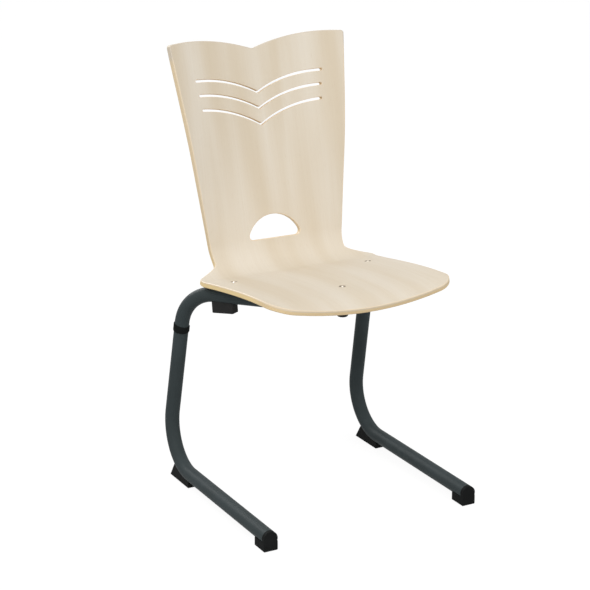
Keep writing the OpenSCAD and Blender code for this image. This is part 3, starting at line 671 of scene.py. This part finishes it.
def slotLoop(i):
    f = shellForm
    s = crestS - f["slotDrop"] - i * f["slotPitch"]
    r = f["slotHeight"] / 2
    half = f["slotHalf"] * f["slotHalfShares"][i] - r
    flat = f["slotHalf"] * f["slotFlatShares"][i]
    xs = np.concatenate([[-half], np.linspace(-flat, flat, f["slotPoints"]), [half]])
    wing = f["wingRadius"]
    line = -(wing - np.sqrt(wing ** 2 - np.maximum(0, flat - np.abs(xs)) ** 2))
    turn = np.radians(np.linspace(-90, 90, f["smallTurn"]))[1:-1]
    rightEnd = np.stack([half + r * np.cos(turn), r * np.sin(turn)], -1)
    loop = np.concatenate([np.stack([xs, line - r], -1), rightEnd,
                           np.stack([xs, line + r], -1)[::-1], -rightEnd])
    return loop + [0, s]


def handHoleLoop():
    f = shellForm
    r, small = f["holeRadius"], f["holeCorner"]
    chord = f["holeHeight"] - r
    inner = r - small
    cornerX = sqrt(inner ** 2 - (small - chord) ** 2)
    start = np.arcsin((small - chord) / inner)
    turn = np.linspace(-pi / 2, start, f["smallTurn"])
    right = np.stack([cornerX + small * np.cos(turn), small - chord + small * np.sin(turn)], -1)
    sweep = np.linspace(start, pi - start, f["archPoints"])[1:-1]
    arch = r * np.stack([np.cos(sweep), np.sin(sweep)], -1)
    sillX = np.linspace(-cornerX, cornerX, f["sillPoints"])[1:-1]
    sill = np.stack([sillX, np.full(len(sillX), -chord)], -1)
    loop = np.concatenate([right, arch, right[::-1] * [-1, 1], sill])
    return loop + [0, chord + bendEndS - f["holeDrop"]]


def circleLoop(s, x, r):
    a = np.linspace(0, 2 * pi, shellForm["circlePoints"], endpoint=False)
    return np.stack([x + r * np.cos(a), s + r * np.sin(a)], -1)


# moves a loop to the left of its direction of travel
def offsetLoop(loop, distance):
    ahead = np.roll(loop, -1, 0) - loop
    ahead /= np.linalg.norm(ahead, axis=1, keepdims=True)
    behind = np.roll(ahead, 1, 0)
    left = np.stack([-(ahead + behind)[:, 1], (ahead + behind)[:, 0]], -1)
    left /= np.linalg.norm(left, axis=1, keepdims=True)
    spread = np.abs(left[:, 0] * -ahead[:, 1] + left[:, 1] * ahead[:, 0])
    return loop + left * distance / np.maximum(shellForm["leastSpread"], spread)[:, None], left


def insideLoop(points, loop):
    inside = np.zeros(len(points), bool)
    for a, b in zip(loop, np.roll(loop, -1, 0)):
        if a[1] == b[1]:
            continue
        crosses = (a[1] > points[:, 1]) != (b[1] > points[:, 1])
        inside ^= crosses & (points[:, 0] < a[0] + (points[:, 1] - a[1]) * (b[0] - a[0]) / (b[1] - a[1]))
    return inside


def nearLoop(points, loop, distance):
    near = np.zeros(len(points), bool)
    for a, b in zip(loop, np.roll(loop, -1, 0)):
        span = b - a
        t = np.clip(((points - a) @ span) / max(span @ span, shellForm["tiny"]), 0, 1)
        near |= np.sum((points - a - t[:, None] * span) ** 2, 1) < distance ** 2
    return near


# fills the sheet between its loops with triangles on an even grid
def fillSheet(loops):
    f = shellForm
    outer, holes = loops[0], loops[1:]
    xs = np.arange(-f["gridHalf"], f["gridHalf"] + f["hair"], f["gridAcross"])
    ss = np.arange(-f["gridPast"], crestS + f["gridPast"], f["gridAlong"])
    grid = np.stack(np.meshgrid(xs, ss), -1).reshape(-1, 2)
    keep = insideLoop(grid, outer) & ~nearLoop(grid, outer, f["edgeGap"])
    for hole in holes:
        keep &= ~insideLoop(grid, hole) & ~nearLoop(grid, hole, f["holeGap"])
    points = np.concatenate(loops + [grid[keep]])
    edges = []
    start = 0
    for loop in loops:
        n = len(loop)
        edges += [(start + k, start + (k + 1) % n) for k in range(n)]
        start += n
    found = delaunay_2d_cdt([Vector(p) for p in points], edges, [], 0, f["joined"])
    coords = np.array([tuple(v) for v in found[0]])
    triangles = np.array(list(found[2]))
    middles = coords[triangles].mean(1)
    inside = insideLoop(middles, outer)
    for hole in holes:
        inside &= ~insideLoop(middles, hole)
    owner = np.full(len(points), -1)
    for new, olds in enumerate(found[3]):
        for old in olds:
            owner[old] = new
    return coords, triangles[inside], owner[:start]


# The loops' walls, from the sitting side through the sheet. Each row of a wall is how far it stands in from
# the loop, its depth, and the shares of the face and of the wall in its normal.
def sheetWalls():
    f = shellForm
    t = f["ply"]
    outlines = [(blankLoop(), 1, f["edgeRound"], False), (handHoleLoop(), -1, f["holeRound"], True)]
    outlines += [(slotLoop(i), -1, f["slotRound"], True) for i in range(len(f["slotHalfShares"]))]
    walls = []
    for loop, inward, r, straight in outlines:
        turns = [pi / 2 * k / f["roundSteps"] for k in range(f["roundSteps"] + 1)]
        rows = [(r * (1 - sin(a)), r * (1 - cos(a)), cos(a), sin(a)) for a in turns]
        mirrored = [(inset, t - depth, -face, wall) for inset, depth, face, wall in reversed(rows)]
        walls.append((loop, inward, rows + mirrored, straight))
    sink, hair = f["screwSink"], f["hair"]
    rim, wide, narrow = [f[key] / 2 for key in ("screwRim", "screwHead", "screwShank")]
    for s, x in f["screwSpots"]:
        rows = [(0, 0, 1, 0), (0, hair, 1, 1), (wide - rim, f["rimDepth"], 0.5, 0.85),
                (narrow - rim, sink, 1, 1), (narrow - rim, sink + 2 * hair, 0, 1),
                (narrow - rim, t - hair, 0, 1), (narrow - rim, t, -1, 0)]
        walls.append((circleLoop(s, x, rim), -1, rows, False))
    return walls


# straight walls are cut level through the back, so they lean in the sheet
def wallRing(loop, inward, inset, depth, straight):
    moved, left = offsetLoop(loop, inward * inset)
    if straight:
        normal = shellFrame(moved[:, 1], moved[:, 0])[2]
        moved = moved + np.stack([depth * normal[:, 0], np.zeros(len(moved))], -1)
    return moved, left * inward


def makeShell():
    walls = sheetWalls()
    faceLoops, rearLoops = [[wallRing(w[0], w[1], w[2][end][0], w[2][end][1], w[3])[0] for w in walls]
                            for end in (0, -1)]
    places, normals, sheetPlaces, faces, slots = [], [], [], [], []
    count = 0

    def addPoints(xs, depth, face, wall=0, inwardDirection=None):
        nonlocal count
        s, x = xs[:, 1], xs[:, 0]
        across, along, normal = shellFrame(s, x)
        places.append(shellPoint(s, x) - depth * normal)
        if inwardDirection is None:
            normals.append(normal * face)
        else:
            out = -(across * inwardDirection[:, :1] + along * inwardDirection[:, 1:])
            mixed = normal * face + out * wall
            normals.append(mixed / np.linalg.norm(mixed, axis=1, keepdims=True))
        sheetPlaces.append(np.stack([x, s, np.full(len(x), depth)], -1))
        count += len(x)
        return count - len(x)

    borders = []
    for loops, depth, face in ((faceLoops, 0.0, 1.0), (rearLoops, shellForm["ply"], -1.0)):
        coords, triangles, owner = fillSheet(loops)
        first = addPoints(coords, depth, face)
        ordered = triangles if face > 0 else triangles[:, ::-1]
        faces.extend((ordered + first).tolist())
        slots.extend([0] * len(ordered))
        borders.append(owner + first)
    start = 0
    for loop, inward, rings, straight in walls:
        n = len(loop)
        rows = [borders[0][start:start + n]]
        for inset, depth, face, wall in rings[1:-1]:
            moved, direction = wallRing(loop, inward, inset, depth, straight)
            first = addPoints(moved, depth, face, wall, direction)
            rows.append(np.arange(first, first + n))
        rows.append(borders[1][start:start + n])
        for a, b in zip(rows[:-1], rows[1:]):
            for k in range(n):
                m = (k + 1) % n
                quad = (a[k], b[k], b[m], a[m]) if inward > 0 else (a[m], b[m], b[k], a[k])
                faces.append([int(q) for q in quad])
                slots.append(1)
        start += n
    obj = makeObject("seatShell", np.concatenate(places), faces)
    mesh = obj.data
    mesh.materials.append(veneer)
    mesh.materials.append(plyEdge)
    mesh.polygons.foreach_set("material_index", slots)
    sheet = mesh.attributes.new("sheet", "FLOAT_VECTOR", "POINT")
    sheet.data.foreach_set("vector", np.concatenate(sheetPlaces).ravel())
    mesh.normals_split_custom_set_from_vertices([tuple(n) for n in np.concatenate(normals)])
    finishPiece(obj, veneer, "seat_shell")
    print("shell made,", len(faces), "faces")


makeShell()

# the bent tube
tubeForm = {
    "radius": 0.015, "bore": 0.013, "around": 56, "openLength": 0.03, "rim": 0.0004,
    "corners": [(0.224, 0.008, 0.025), (0.224, 0.466, 0.025), (0.213956, 0.384467, 0.408584),
                (0.0, 0.0229445, 0.437694)],
    "bendRadius": 0.092, "apexRadius": 0.104877, "bendStep": 3.0, "runParts": 4,
}
tubeAxis = tubeForm["corners"][0][2]


# centre line as (point, direction) pairs, fine in the bends
def tubePath():
    right = [Vector(c) for c in tubeForm["corners"]]
    corners = right + [sideways(c, -1) for c in right[-2::-1]]
    bend, apex, parts = tubeForm["bendRadius"], tubeForm["apexRadius"], tubeForm["runParts"]
    radii = [0, bend, bend, apex, bend, bend, 0]
    path = [(corners[0], unit(corners[1] - corners[0]))]
    for i in range(1, len(corners) - 1):
        before = unit(corners[i] - corners[i - 1])
        after = unit(corners[i + 1] - corners[i])
        turn = before.angle(after)
        start = corners[i] - before * radii[i] * tan(turn / 2)
        inward = unit(after - before * after.dot(before))
        centre = start + inward * radii[i]
        steps = int(turn * 180 / pi / tubeForm["bendStep"]) + 1
        last = path[-1][0]
        for k in range(1, parts):
            path.append((last + (start - last) * k / parts, before))
        for k in range(steps + 1):
            a = turn * k / steps
            path.append((centre - inward * radii[i] * cos(a) + before * radii[i] * sin(a),
                         before * cos(a) + inward * sin(a)))
    path.append((corners[-1], unit(corners[-1] - corners[-2])))
    return path


# carries a cross direction along the path without twist
def carriedFrames(path):
    side = Vector((1, 0, 0))
    side = unit(side - side.dot(path[0][1]) * path[0][1])
    frames = []
    for point, direction in path:
        side = unit(side - side.dot(direction) * direction)
        frames.append((point, side, direction.cross(side)))
    return frames


def ringAt(point, side, up, radius):
    return [placed(point + side * radius * cos(a) + up * radius * sin(a))
            for a in fullTurn(tubeForm["around"])]


def makeTube():
    path = tubePath()
    frames = carriedFrames(path)
    bore, deep = tubeForm["bore"], tubeForm["openLength"]
    startInner = frames[0][0] + path[0][1] * deep
    endInner = frames[-1][0] - path[-1][1] * deep
    lead = [ringAt(startInner, *frames[0][1:], bore), ringAt(*frames[0], bore)]
    tail = [ringAt(*frames[-1], bore), ringAt(endInner, *frames[-1][1:], bore)]
    rings = [ringAt(*place, tubeForm["radius"]) for place in frames]
    obj = makeObject("bentTube", *skinRings(lead + rings + tail))
    turnOutward(obj)
    softenEdges(obj, tubeForm["rim"], segments=2, angle=50)
    finishPiece(obj, powderCoat, "frame_tube")


makeTube()
print("tube made")

# sleeves round the legs
sleeveForm = {
    "top": (0.215814, 0.399551, 0.337616), "legDirection": (0.0256053, 0.207844, -0.977827),
    "length": 0.0165, "inner": 0.0152, "outer": 0.0167, "tilt": 9,
    "rim": 0.0006, "rimMiddle": 0.3, "around": 56,
}


def makeSleeve(side, name, node):
    f = sleeveForm
    inner, outer, rim, part = f["inner"], f["outer"], f["rim"], f["rim"] * f["rimMiddle"]
    base = frameAt(Vector(f["top"]), -Vector(f["legDirection"]), (-1, 0, 0))
    slope = tan(radians(f["tilt"]))
    middle = -outer * sin(radians(f["tilt"]))
    # radius, whether the ring follows the slanting top, and how far it is shifted up
    profile = [(inner, 0, 0), (inner, 1, -rim), (inner + rim, 1, 0), (outer - rim, 1, 0),
               (outer - part, 1, -part), (outer, 1, -rim),
               (outer, 0, rim), (outer - part, 0, part), (outer - rim, 0, 0)]
    rings = []
    for r, atTop, shift in profile:
        ring = []
        for a in fullTurn(f["around"]):
            top = min(0, middle - slope * r * cos(a))
            z = (top if atTop else -f["length"]) + shift
            ring.append(fromBase(base, r * cos(a), r * sin(a), z, side))
        rings.append(ring)
    obj = makeObject(name, *skinRings(rings, loop=True))
    turnOutward(obj)
    finishPiece(obj, sleevePlastic, node)


makePair(makeSleeve, "legSleeve", "leg_sleeve")

# bumpers under the rails and under the apex
bumperForm = {
    "at": (0.166664, 0.304558, 0.415018), "up": (0.0352086, 0.0594922, 0.997608),
    "along": (-0.508091, -0.858525, 0.0691301),
    "length": 0.050, "width": 0.020, "height": 0.019, "corner": 0.002, "cornerSteps": 5, "seatGap": 0.0002,
    "footTurn": 0.6, "footCorner": 0.001, "lip": 0.0004, "edge": 0.0003,
    "wedge": 0.0018, "recess": 0.00505, "recessDepth": 0.0088,
}


def roundedRectangle(length, width, r):
    quarters = ((1, 1, 0), (-1, 1, 90), (-1, -1, 180), (1, -1, 270))
    return [p for cx, cy, start in quarters
            for p in arcPoints(cx * (length / 2 - r), cy * (width / 2 - r), r, start, start + 90,
                               bumperForm["cornerSteps"])]


def makeBumper(side, name, node):
    f = bumperForm
    base = frameAt(Vector(f["at"]), f["up"], f["along"])
    tube = tubeForm["radius"] + f["seatGap"]
    bottom = -tubeForm["radius"] - f["height"]
    length, width, r, lip, steps = f["length"], f["width"], f["corner"], f["lip"], f["cornerSteps"]
    rings = []
    for k in range(steps + 1):
        a = radians(90 * k / steps)
        inset = r * (1 - sin(a))
        corner = max(r - inset * f["footTurn"], f["footCorner"])
        low = bottom + r * (1 - cos(a))
        rings.append([(x, y, low - f["wedge"] * (0.5 - x / length))
                      for x, y in roundedRectangle(length - 2 * inset, width - 2 * inset, corner)])
    rings.append([(x, y, -sqrt(tube ** 2 - y ** 2) - lip) for x, y in roundedRectangle(length, width, r)])
    small = roundedRectangle(length - 2 * lip, width - 2 * lip, r - lip)
    rings.append([(x, y, -sqrt(tube ** 2 - y ** 2)) for x, y in small])
    verts, faces = skinRings([[fromBase(base, *p, side) for p in ring] for ring in rings], closeEnd=False)
    # the cradle is laid in strips across the tube, so that it follows it
    columns = {}
    for k, (x, y) in enumerate(small):
        columns.setdefault(round(y, 6), []).append((x, k))
    first = (len(rings) - 1) * len(small)
    keys = sorted(columns)
    for low, high in zip(keys[:-1], keys[1:]):
        a, b = sorted(columns[low]), sorted(columns[high])
        faces.append((first + a[0][1], first + a[-1][1], first + b[-1][1], first + b[0][1]))
    obj = makeObject(name, verts, faces)
    turnOutward(obj)
    cutRecess(obj, base, f["recess"], bottom - f["recess"], bottom + f["recessDepth"], side)
    softenEdges(obj, f["edge"], segments=2, angle=40)
    finishPiece(obj, bumperPaintedLightPlastic, node)


makePair(makeBumper, "bumper", "bumper")

# the round bumper under the apex of the rails, turned about the seat screw's axis
buttonForm = {
    "at": (0.0, 0.124154, 0.429545), "up": (0.0, 0.035501, 0.99937),
    "radius": 0.011, "height": 0.0165, "round": 0.0036, "roundPoints": 12, "cradleRings": 9, "around": 48,
    "hole": 0.0027, "recess": 0.00505, "recessDepth": 0.0068, "edge": 0.0003,
}


def makeButton():
    f = buttonForm
    base = frameAt(Vector(f["at"]), f["up"], (1, 0, 0))
    room = tubeForm["radius"] + bumperForm["seatGap"]
    bend = tubeForm["apexRadius"]
    bottom = -tubeForm["radius"] - f["height"]
    sink = bottom + f["recessDepth"]
    profile = [(f["hole"], sink), (f["recess"], sink), (f["recess"], bottom)]
    profile += [(f["radius"] - f["round"] + f["round"] * sin(a), bottom + f["round"] * (1 - cos(a)))
                for a in np.linspace(0, pi / 2, f["roundPoints"])]
    rings = turnedRings(base, profile, 1, f["around"])
    for r in np.linspace(f["radius"], f["hole"], f["cradleRings"]):
        ring = []
        for a in fullTurn(f["around"]):
            x, y = r * cos(a), r * sin(a)
            off = bend - sqrt(x ** 2 + (bend - y) ** 2)
            ring.append(fromBase(base, x, y, -sqrt(room ** 2 - off ** 2)))
        rings.append(ring)
    obj = makeObject("bumperFront", *skinRings(rings, loop=True))
    turnOutward(obj)
    softenEdges(obj, f["edge"], segments=2, angle=40)
    finishPiece(obj, bumperPaintedLightPlastic, "bumper_front")


makeButton()
print("sleeves and bumpers made")

# end shoes: an arched end wall with a flat foot behind it that cradles the tube, and a plug in the tube
shoeForm = {
    "x": 0.224, "length": 0.038, "wall": 0.008, "sideHeight": 0.018, "corner": 0.002, "cornerSteps": 6,
    "room": 0.0152, "archSteps": 24, "edge": 0.0012,
    "plug": 0.0128, "plugLength": 0.024, "plugLap": 0.0005, "plugTip": 0.002, "plugTaper": 0.001,
}


def shoeOutline(foot):
    f = shoeForm
    r, c = tubeForm["radius"], f["corner"]
    lower = [(r, f["sideHeight"])]
    for x, start in ((r - c, 0), (c - r, -90)):
        lower += arcPoints(x, c, c, start, start - 90, f["cornerSteps"])
    lower.append((-r, f["sideHeight"]))
    radius = f["room"] if foot else r
    lift = np.arcsin((f["sideHeight"] - tubeAxis) / radius)
    if foot:
        turn = np.linspace(-pi - lift, lift, f["archSteps"])
    else:
        turn = np.linspace(pi - lift, lift, f["archSteps"] + 2)[1:-1]
    return lower + [(radius * cos(a), tubeAxis + radius * sin(a)) for a in turn]


def makeShoe(side, name, node):
    f = shoeForm
    wall, foot = shoeOutline(False), shoeOutline(True)
    sections = [(wall, 0), (wall, f["wall"]), (foot, f["wall"]), (foot, f["length"])]
    rings = [[placed((side * (f["x"] + x), y, z)) for x, z in outline] for outline, y in sections]
    verts, faces = skinRings(rings)
    base = frameAt(Vector((f["x"], 0, tubeAxis)), (0, 1, 0), (1, 0, 0))
    r, tip = f["plug"], f["wall"] + f["plugLength"]
    plug = [(r, f["wall"] - f["plugLap"]), (r, tip - f["plugTip"]), (r - f["plugTaper"], tip)]
    plugVerts, plugFaces = skinRings(turnedRings(base, plug, side))
    faces += [tuple(k + len(verts) for k in face) for face in plugFaces]
    obj = makeObject(name, verts + plugVerts, faces)
    turnOutward(obj)
    softenEdges(obj, f["edge"], angle=40)
    finishPiece(obj, plastic, node)


makePair(makeShoe, "frontShoe", "front_shoe")

# wedges under the heels: flat on the floor, hollowed where the tube and its bend lie in them
glideForm = {
    "x": 0.224, "width": 0.0225, "front": 0.343398, "length": 0.086, "rake": 34, "room": 0.0152,
    "bendFrom": 0.352398, "edge": 0.0007, "across": 13, "along": 26, "searchTop": 0.05, "searchSteps": 40,
    "screwY": 0.361398, "recess": 0.00505, "recessDepth": 0.0048,
}


# height of the tube's underside, with the room that the glide leaves round it
def underTube(x, y):
    f = glideForm
    hang = sqrt(f["room"] ** 2 - x ** 2)
    if y <= f["bendFrom"]:
        return tubeAxis - hang
    bend = tubeForm["bendRadius"]
    return tubeAxis + bend - sqrt((bend + hang) ** 2 - (y - f["bendFrom"]) ** 2)


def makeGlide(side, name, node):
    f = glideForm
    rear = f["front"] + f["length"]
    lean = tan(radians(f["rake"]))
    rings = []
    for x in np.linspace(-f["width"] / 2, f["width"] / 2, f["across"]):
        # the raked rear face ends where it meets the tube
        low, high = 0.0, f["searchTop"]
        for _ in range(f["searchSteps"]):
            middle = (low + high) / 2
            if underTube(x, rear - middle * lean) > middle:
                low = middle
            else:
                high = middle
        ring = [(f["front"], 0.0), (rear, 0.0)]
        ring += [(y, underTube(x, y)) for y in np.linspace(rear - low * lean, f["front"], f["along"])]
        rings.append([placed((side * (f["x"] + x), y, z)) for y, z in ring])
    obj = makeObject(name, *skinRings(rings))
    turnOutward(obj)
    base = frameAt(Vector((f["x"], f["screwY"], 0)), (0, 0, 1), (1, 0, 0))
    cutRecess(obj, base, f["recess"], -f["recess"], f["recessDepth"], side)
    softenEdges(obj, f["edge"])
    finishPiece(obj, plastic, node)


makePair(makeGlide, "rearGlide", "rear_glide")
print("shoes and glides made")

# countersunk seat screws: a dished head with a crowned middle and a hexagon socket, its rim at the face
screwForm = {
    "rear": ((0.153, 0.286757, 0.446486), (-0.020935, 0.140866, 0.989807)),
    "front": ((0.0, 0.125183, 0.458526), (0.0, 0.035501, 0.99937)),
    "head": 0.0069, "rim": 0.0003, "dish": 0.0062, "sunk": 0.0009,
    "crown": 0.0028, "rise": 0.0012, "crownRings": 7, "key": 0.0015, "keyClear": 1.2, "keyDepth": 0.0005,
    "under": 0.0062, "cone": 0.0042, "shank": 0.003, "length": 0.030, "tip": 0.001, "taper": 0.0008,
    "around": 48, "edge": 0.00012,
}


def makeSeatScrew(place, side, name, node):
    f = screwForm
    at, up = f[place]
    base = frameAt(Vector(at), up, (1, 0, 0))
    head, rim, shank, floor = f["head"], f["rim"], f["shank"], -f["sunk"]
    high = floor + f["rise"]

    def socketRing(z):
        ring = []
        for a in fullTurn(f["around"]):
            r = f["key"] * cos(pi / 6) / cos(a % (pi / 3) - pi / 6)
            ring.append(fromBase(base, r * cos(a), r * sin(a), z, side))
        return ring
    body = [(r, high - f["rise"] * (r / f["crown"]) ** 2)
            for r in np.linspace(f["key"] * f["keyClear"], f["crown"], f["crownRings"])]
    body += [(f["dish"], floor), (head - rim, 0), (head, -rim / 2), (head, -rim), (f["under"], floor - rim),
             (shank, -f["cone"]), (shank, f["tip"] - f["length"]), (shank - f["taper"], -f["length"])]
    rings = [socketRing(high - f["keyDepth"]), socketRing(high)]
    obj = makeObject(name, *skinRings(rings + turnedRings(base, body, side, f["around"])))
    obj.data.materials.append(paintedShadeZinc)
    obj.data.materials.append(paintedHighlightZinc)
    centre = fromBase(base, 0, 0, high, side)
    # faces round the middle of the head take the bright zinc, a painted highlight, and the rest keep the
    # darker zinc, a painted shade
    for face in obj.data.polygons:
        if (face.center - centre).length < f["crown"]:
            face.material_index = 1
    turnOutward(obj)
    softenEdges(obj, f["edge"], segments=2, angle=30)
    finishPiece(obj, paintedShadeZinc, node)


makeSeatScrew("rear", -1, "seatScrewLeft", "seat_screw_left")
makeSeatScrew("rear", 1, "seatScrewRight", "seat_screw_right")
makeSeatScrew("front", 1, "seatScrewFront", "seat_screw_front")
print("screws made")

# what stays as it comes from the frame: saddles, tapping screws and inserts
for nodeName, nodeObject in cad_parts.items():
    if "saddle" in nodeName:
        keptLook = plastic
    elif "bumper_screw" in nodeName or "glide_screw" in nodeName or "insert" in nodeName:
        keptLook = dullZinc
    else:
        continue
    for slot in nodeObject.material_slots:
        slot.material = keptLook

# floor, light and camera
studio = {
    "floorSize": 9.0, "floorShade": 0.42, "floorGlow": 0.9, "seenShade": 0.16, "worldLight": 0.62,
    "aim": (0, 0, 0.45),
    "cameraFrom": (-1.67944, -2.78051, 1.49760), "azimuth": -28.4655, "elevation": 17.485,
    "lens": 110.827, "sensor": 36, "sight": 60,
}
lamps = {
    "keyLamp": {"power": 78, "size": 2.6, "origin": (-2.5, -2.4, 3.5)},
    "fillLamp": {"power": 22, "size": 3.0, "origin": (1.0, -3.8, 1.0)},
    "overLamp": {"power": 12, "size": 3.0, "origin": (0.0, 0.1, 3.3)},
    "topLamp": {"power": 110, "size": 2.2, "origin": (-0.7, 3.2, 1.9), "onlyGloss": True},
}


# 1 where the camera, a gloss or glass looks, and 0 for the light on the object
def seenMask(tree):
    path = addNode(tree, "ShaderNodeLightPath").outputs
    mirrored = mathNode(tree, "MAXIMUM", path["Is Glossy Ray"], path["Is Transmission Ray"])
    return mathNode(tree, "MAXIMUM", path["Is Camera Ray"], mirrored)


def grey(shade):
    return (shade, shade, shade, 1)


def mixShaders(tree, mask, unseen, seen):
    mix = addNode(tree, "ShaderNodeMixShader")
    for socket, value in zip(mix.inputs, (mask, unseen.outputs[0], seen.outputs[0])):
        fill(tree, socket, value)
    return mix.outputs[0]


def makeFloor():
    size = studio["floorSize"]
    corners = [(-size, -size, 0), (size, -size, 0), (size, size, 0), (-size, size, 0)]
    floor = makeObject("studioFloor", corners, [(0, 1, 2, 3)], smooth=False)
    material = bpy.data.materials.new("whiteFloor")
    material.use_nodes = True
    tree = material.node_tree
    tree.nodes.clear()
    seen = seenMask(tree)
    pale = feed(tree, addNode(tree, "ShaderNodeBsdfDiffuse"), Color=grey(studio["floorShade"]))
    dark = feed(tree, addNode(tree, "ShaderNodeBsdfDiffuse"), Color=grey(studio["seenShade"]))
    glow = feed(tree, addNode(tree, "ShaderNodeEmission"), Color=grey(1),
                Strength=mathNode(tree, "MULTIPLY", seen, studio["floorGlow"]))
    both = addNode(tree, "ShaderNodeAddShader")
    fill(tree, both.inputs[0], mixShaders(tree, seen, pale, dark))
    fill(tree, both.inputs[1], glow.outputs[0])
    feed(tree, addNode(tree, "ShaderNodeOutputMaterial"), Surface=both.outputs[0])
    floor.data.materials.append(material)


def makeWorld():
    world = bpy.data.worlds.new("studio")
    bpy.context.scene.world = world
    world.use_nodes = True
    tree = world.node_tree
    tree.nodes.clear()
    seen = seenMask(tree)
    room = feed(tree, addNode(tree, "ShaderNodeBackground"), Color=grey(1), Strength=studio["worldLight"])
    white = feed(tree, addNode(tree, "ShaderNodeBackground"), Color=grey(1), Strength=1.0)
    feed(tree, addNode(tree, "ShaderNodeOutputWorld"), Surface=mixShaders(tree, seen, room, white))


def makeLamp(name, power, size, origin, onlyGloss=False):
    lamp = bpy.data.lights.new(name, "AREA")
    lamp.energy = power
    lamp.size = size
    obj = bpy.data.objects.new(name, lamp)
    bpy.context.scene.collection.objects.link(obj)
    obj.location = origin
    obj.rotation_euler = (Vector(studio["aim"]) - Vector(origin)).to_track_quat("-Z", "Y").to_euler()
    obj.visible_diffuse = not onlyGloss


def makeCamera():
    camera = bpy.data.cameras.new("photoCamera")
    camera.lens = studio["lens"]
    camera.sensor_width = studio["sensor"]
    camera.clip_end = studio["sight"]
    obj = bpy.data.objects.new("photoCamera", camera)
    bpy.context.scene.collection.objects.link(obj)
    az, el = radians(studio["azimuth"]), radians(studio["elevation"])
    back = Vector((sin(az) * cos(el), -cos(az) * cos(el), sin(el)))
    right = Vector((cos(az), sin(az), 0))
    up = back.cross(right)
    turn = Matrix((right, up, back)).transposed().to_4x4()
    obj.matrix_world = Matrix.Translation(placed(studio["cameraFrom"])) @ turn
    bpy.context.scene.camera = obj


makeFloor()
makeWorld()
for lampName, lampForm in lamps.items():
    makeLamp(lampName, **lampForm)
makeCamera()
bpy.context.scene.view_settings.view_transform = "Standard"
print("studio made")
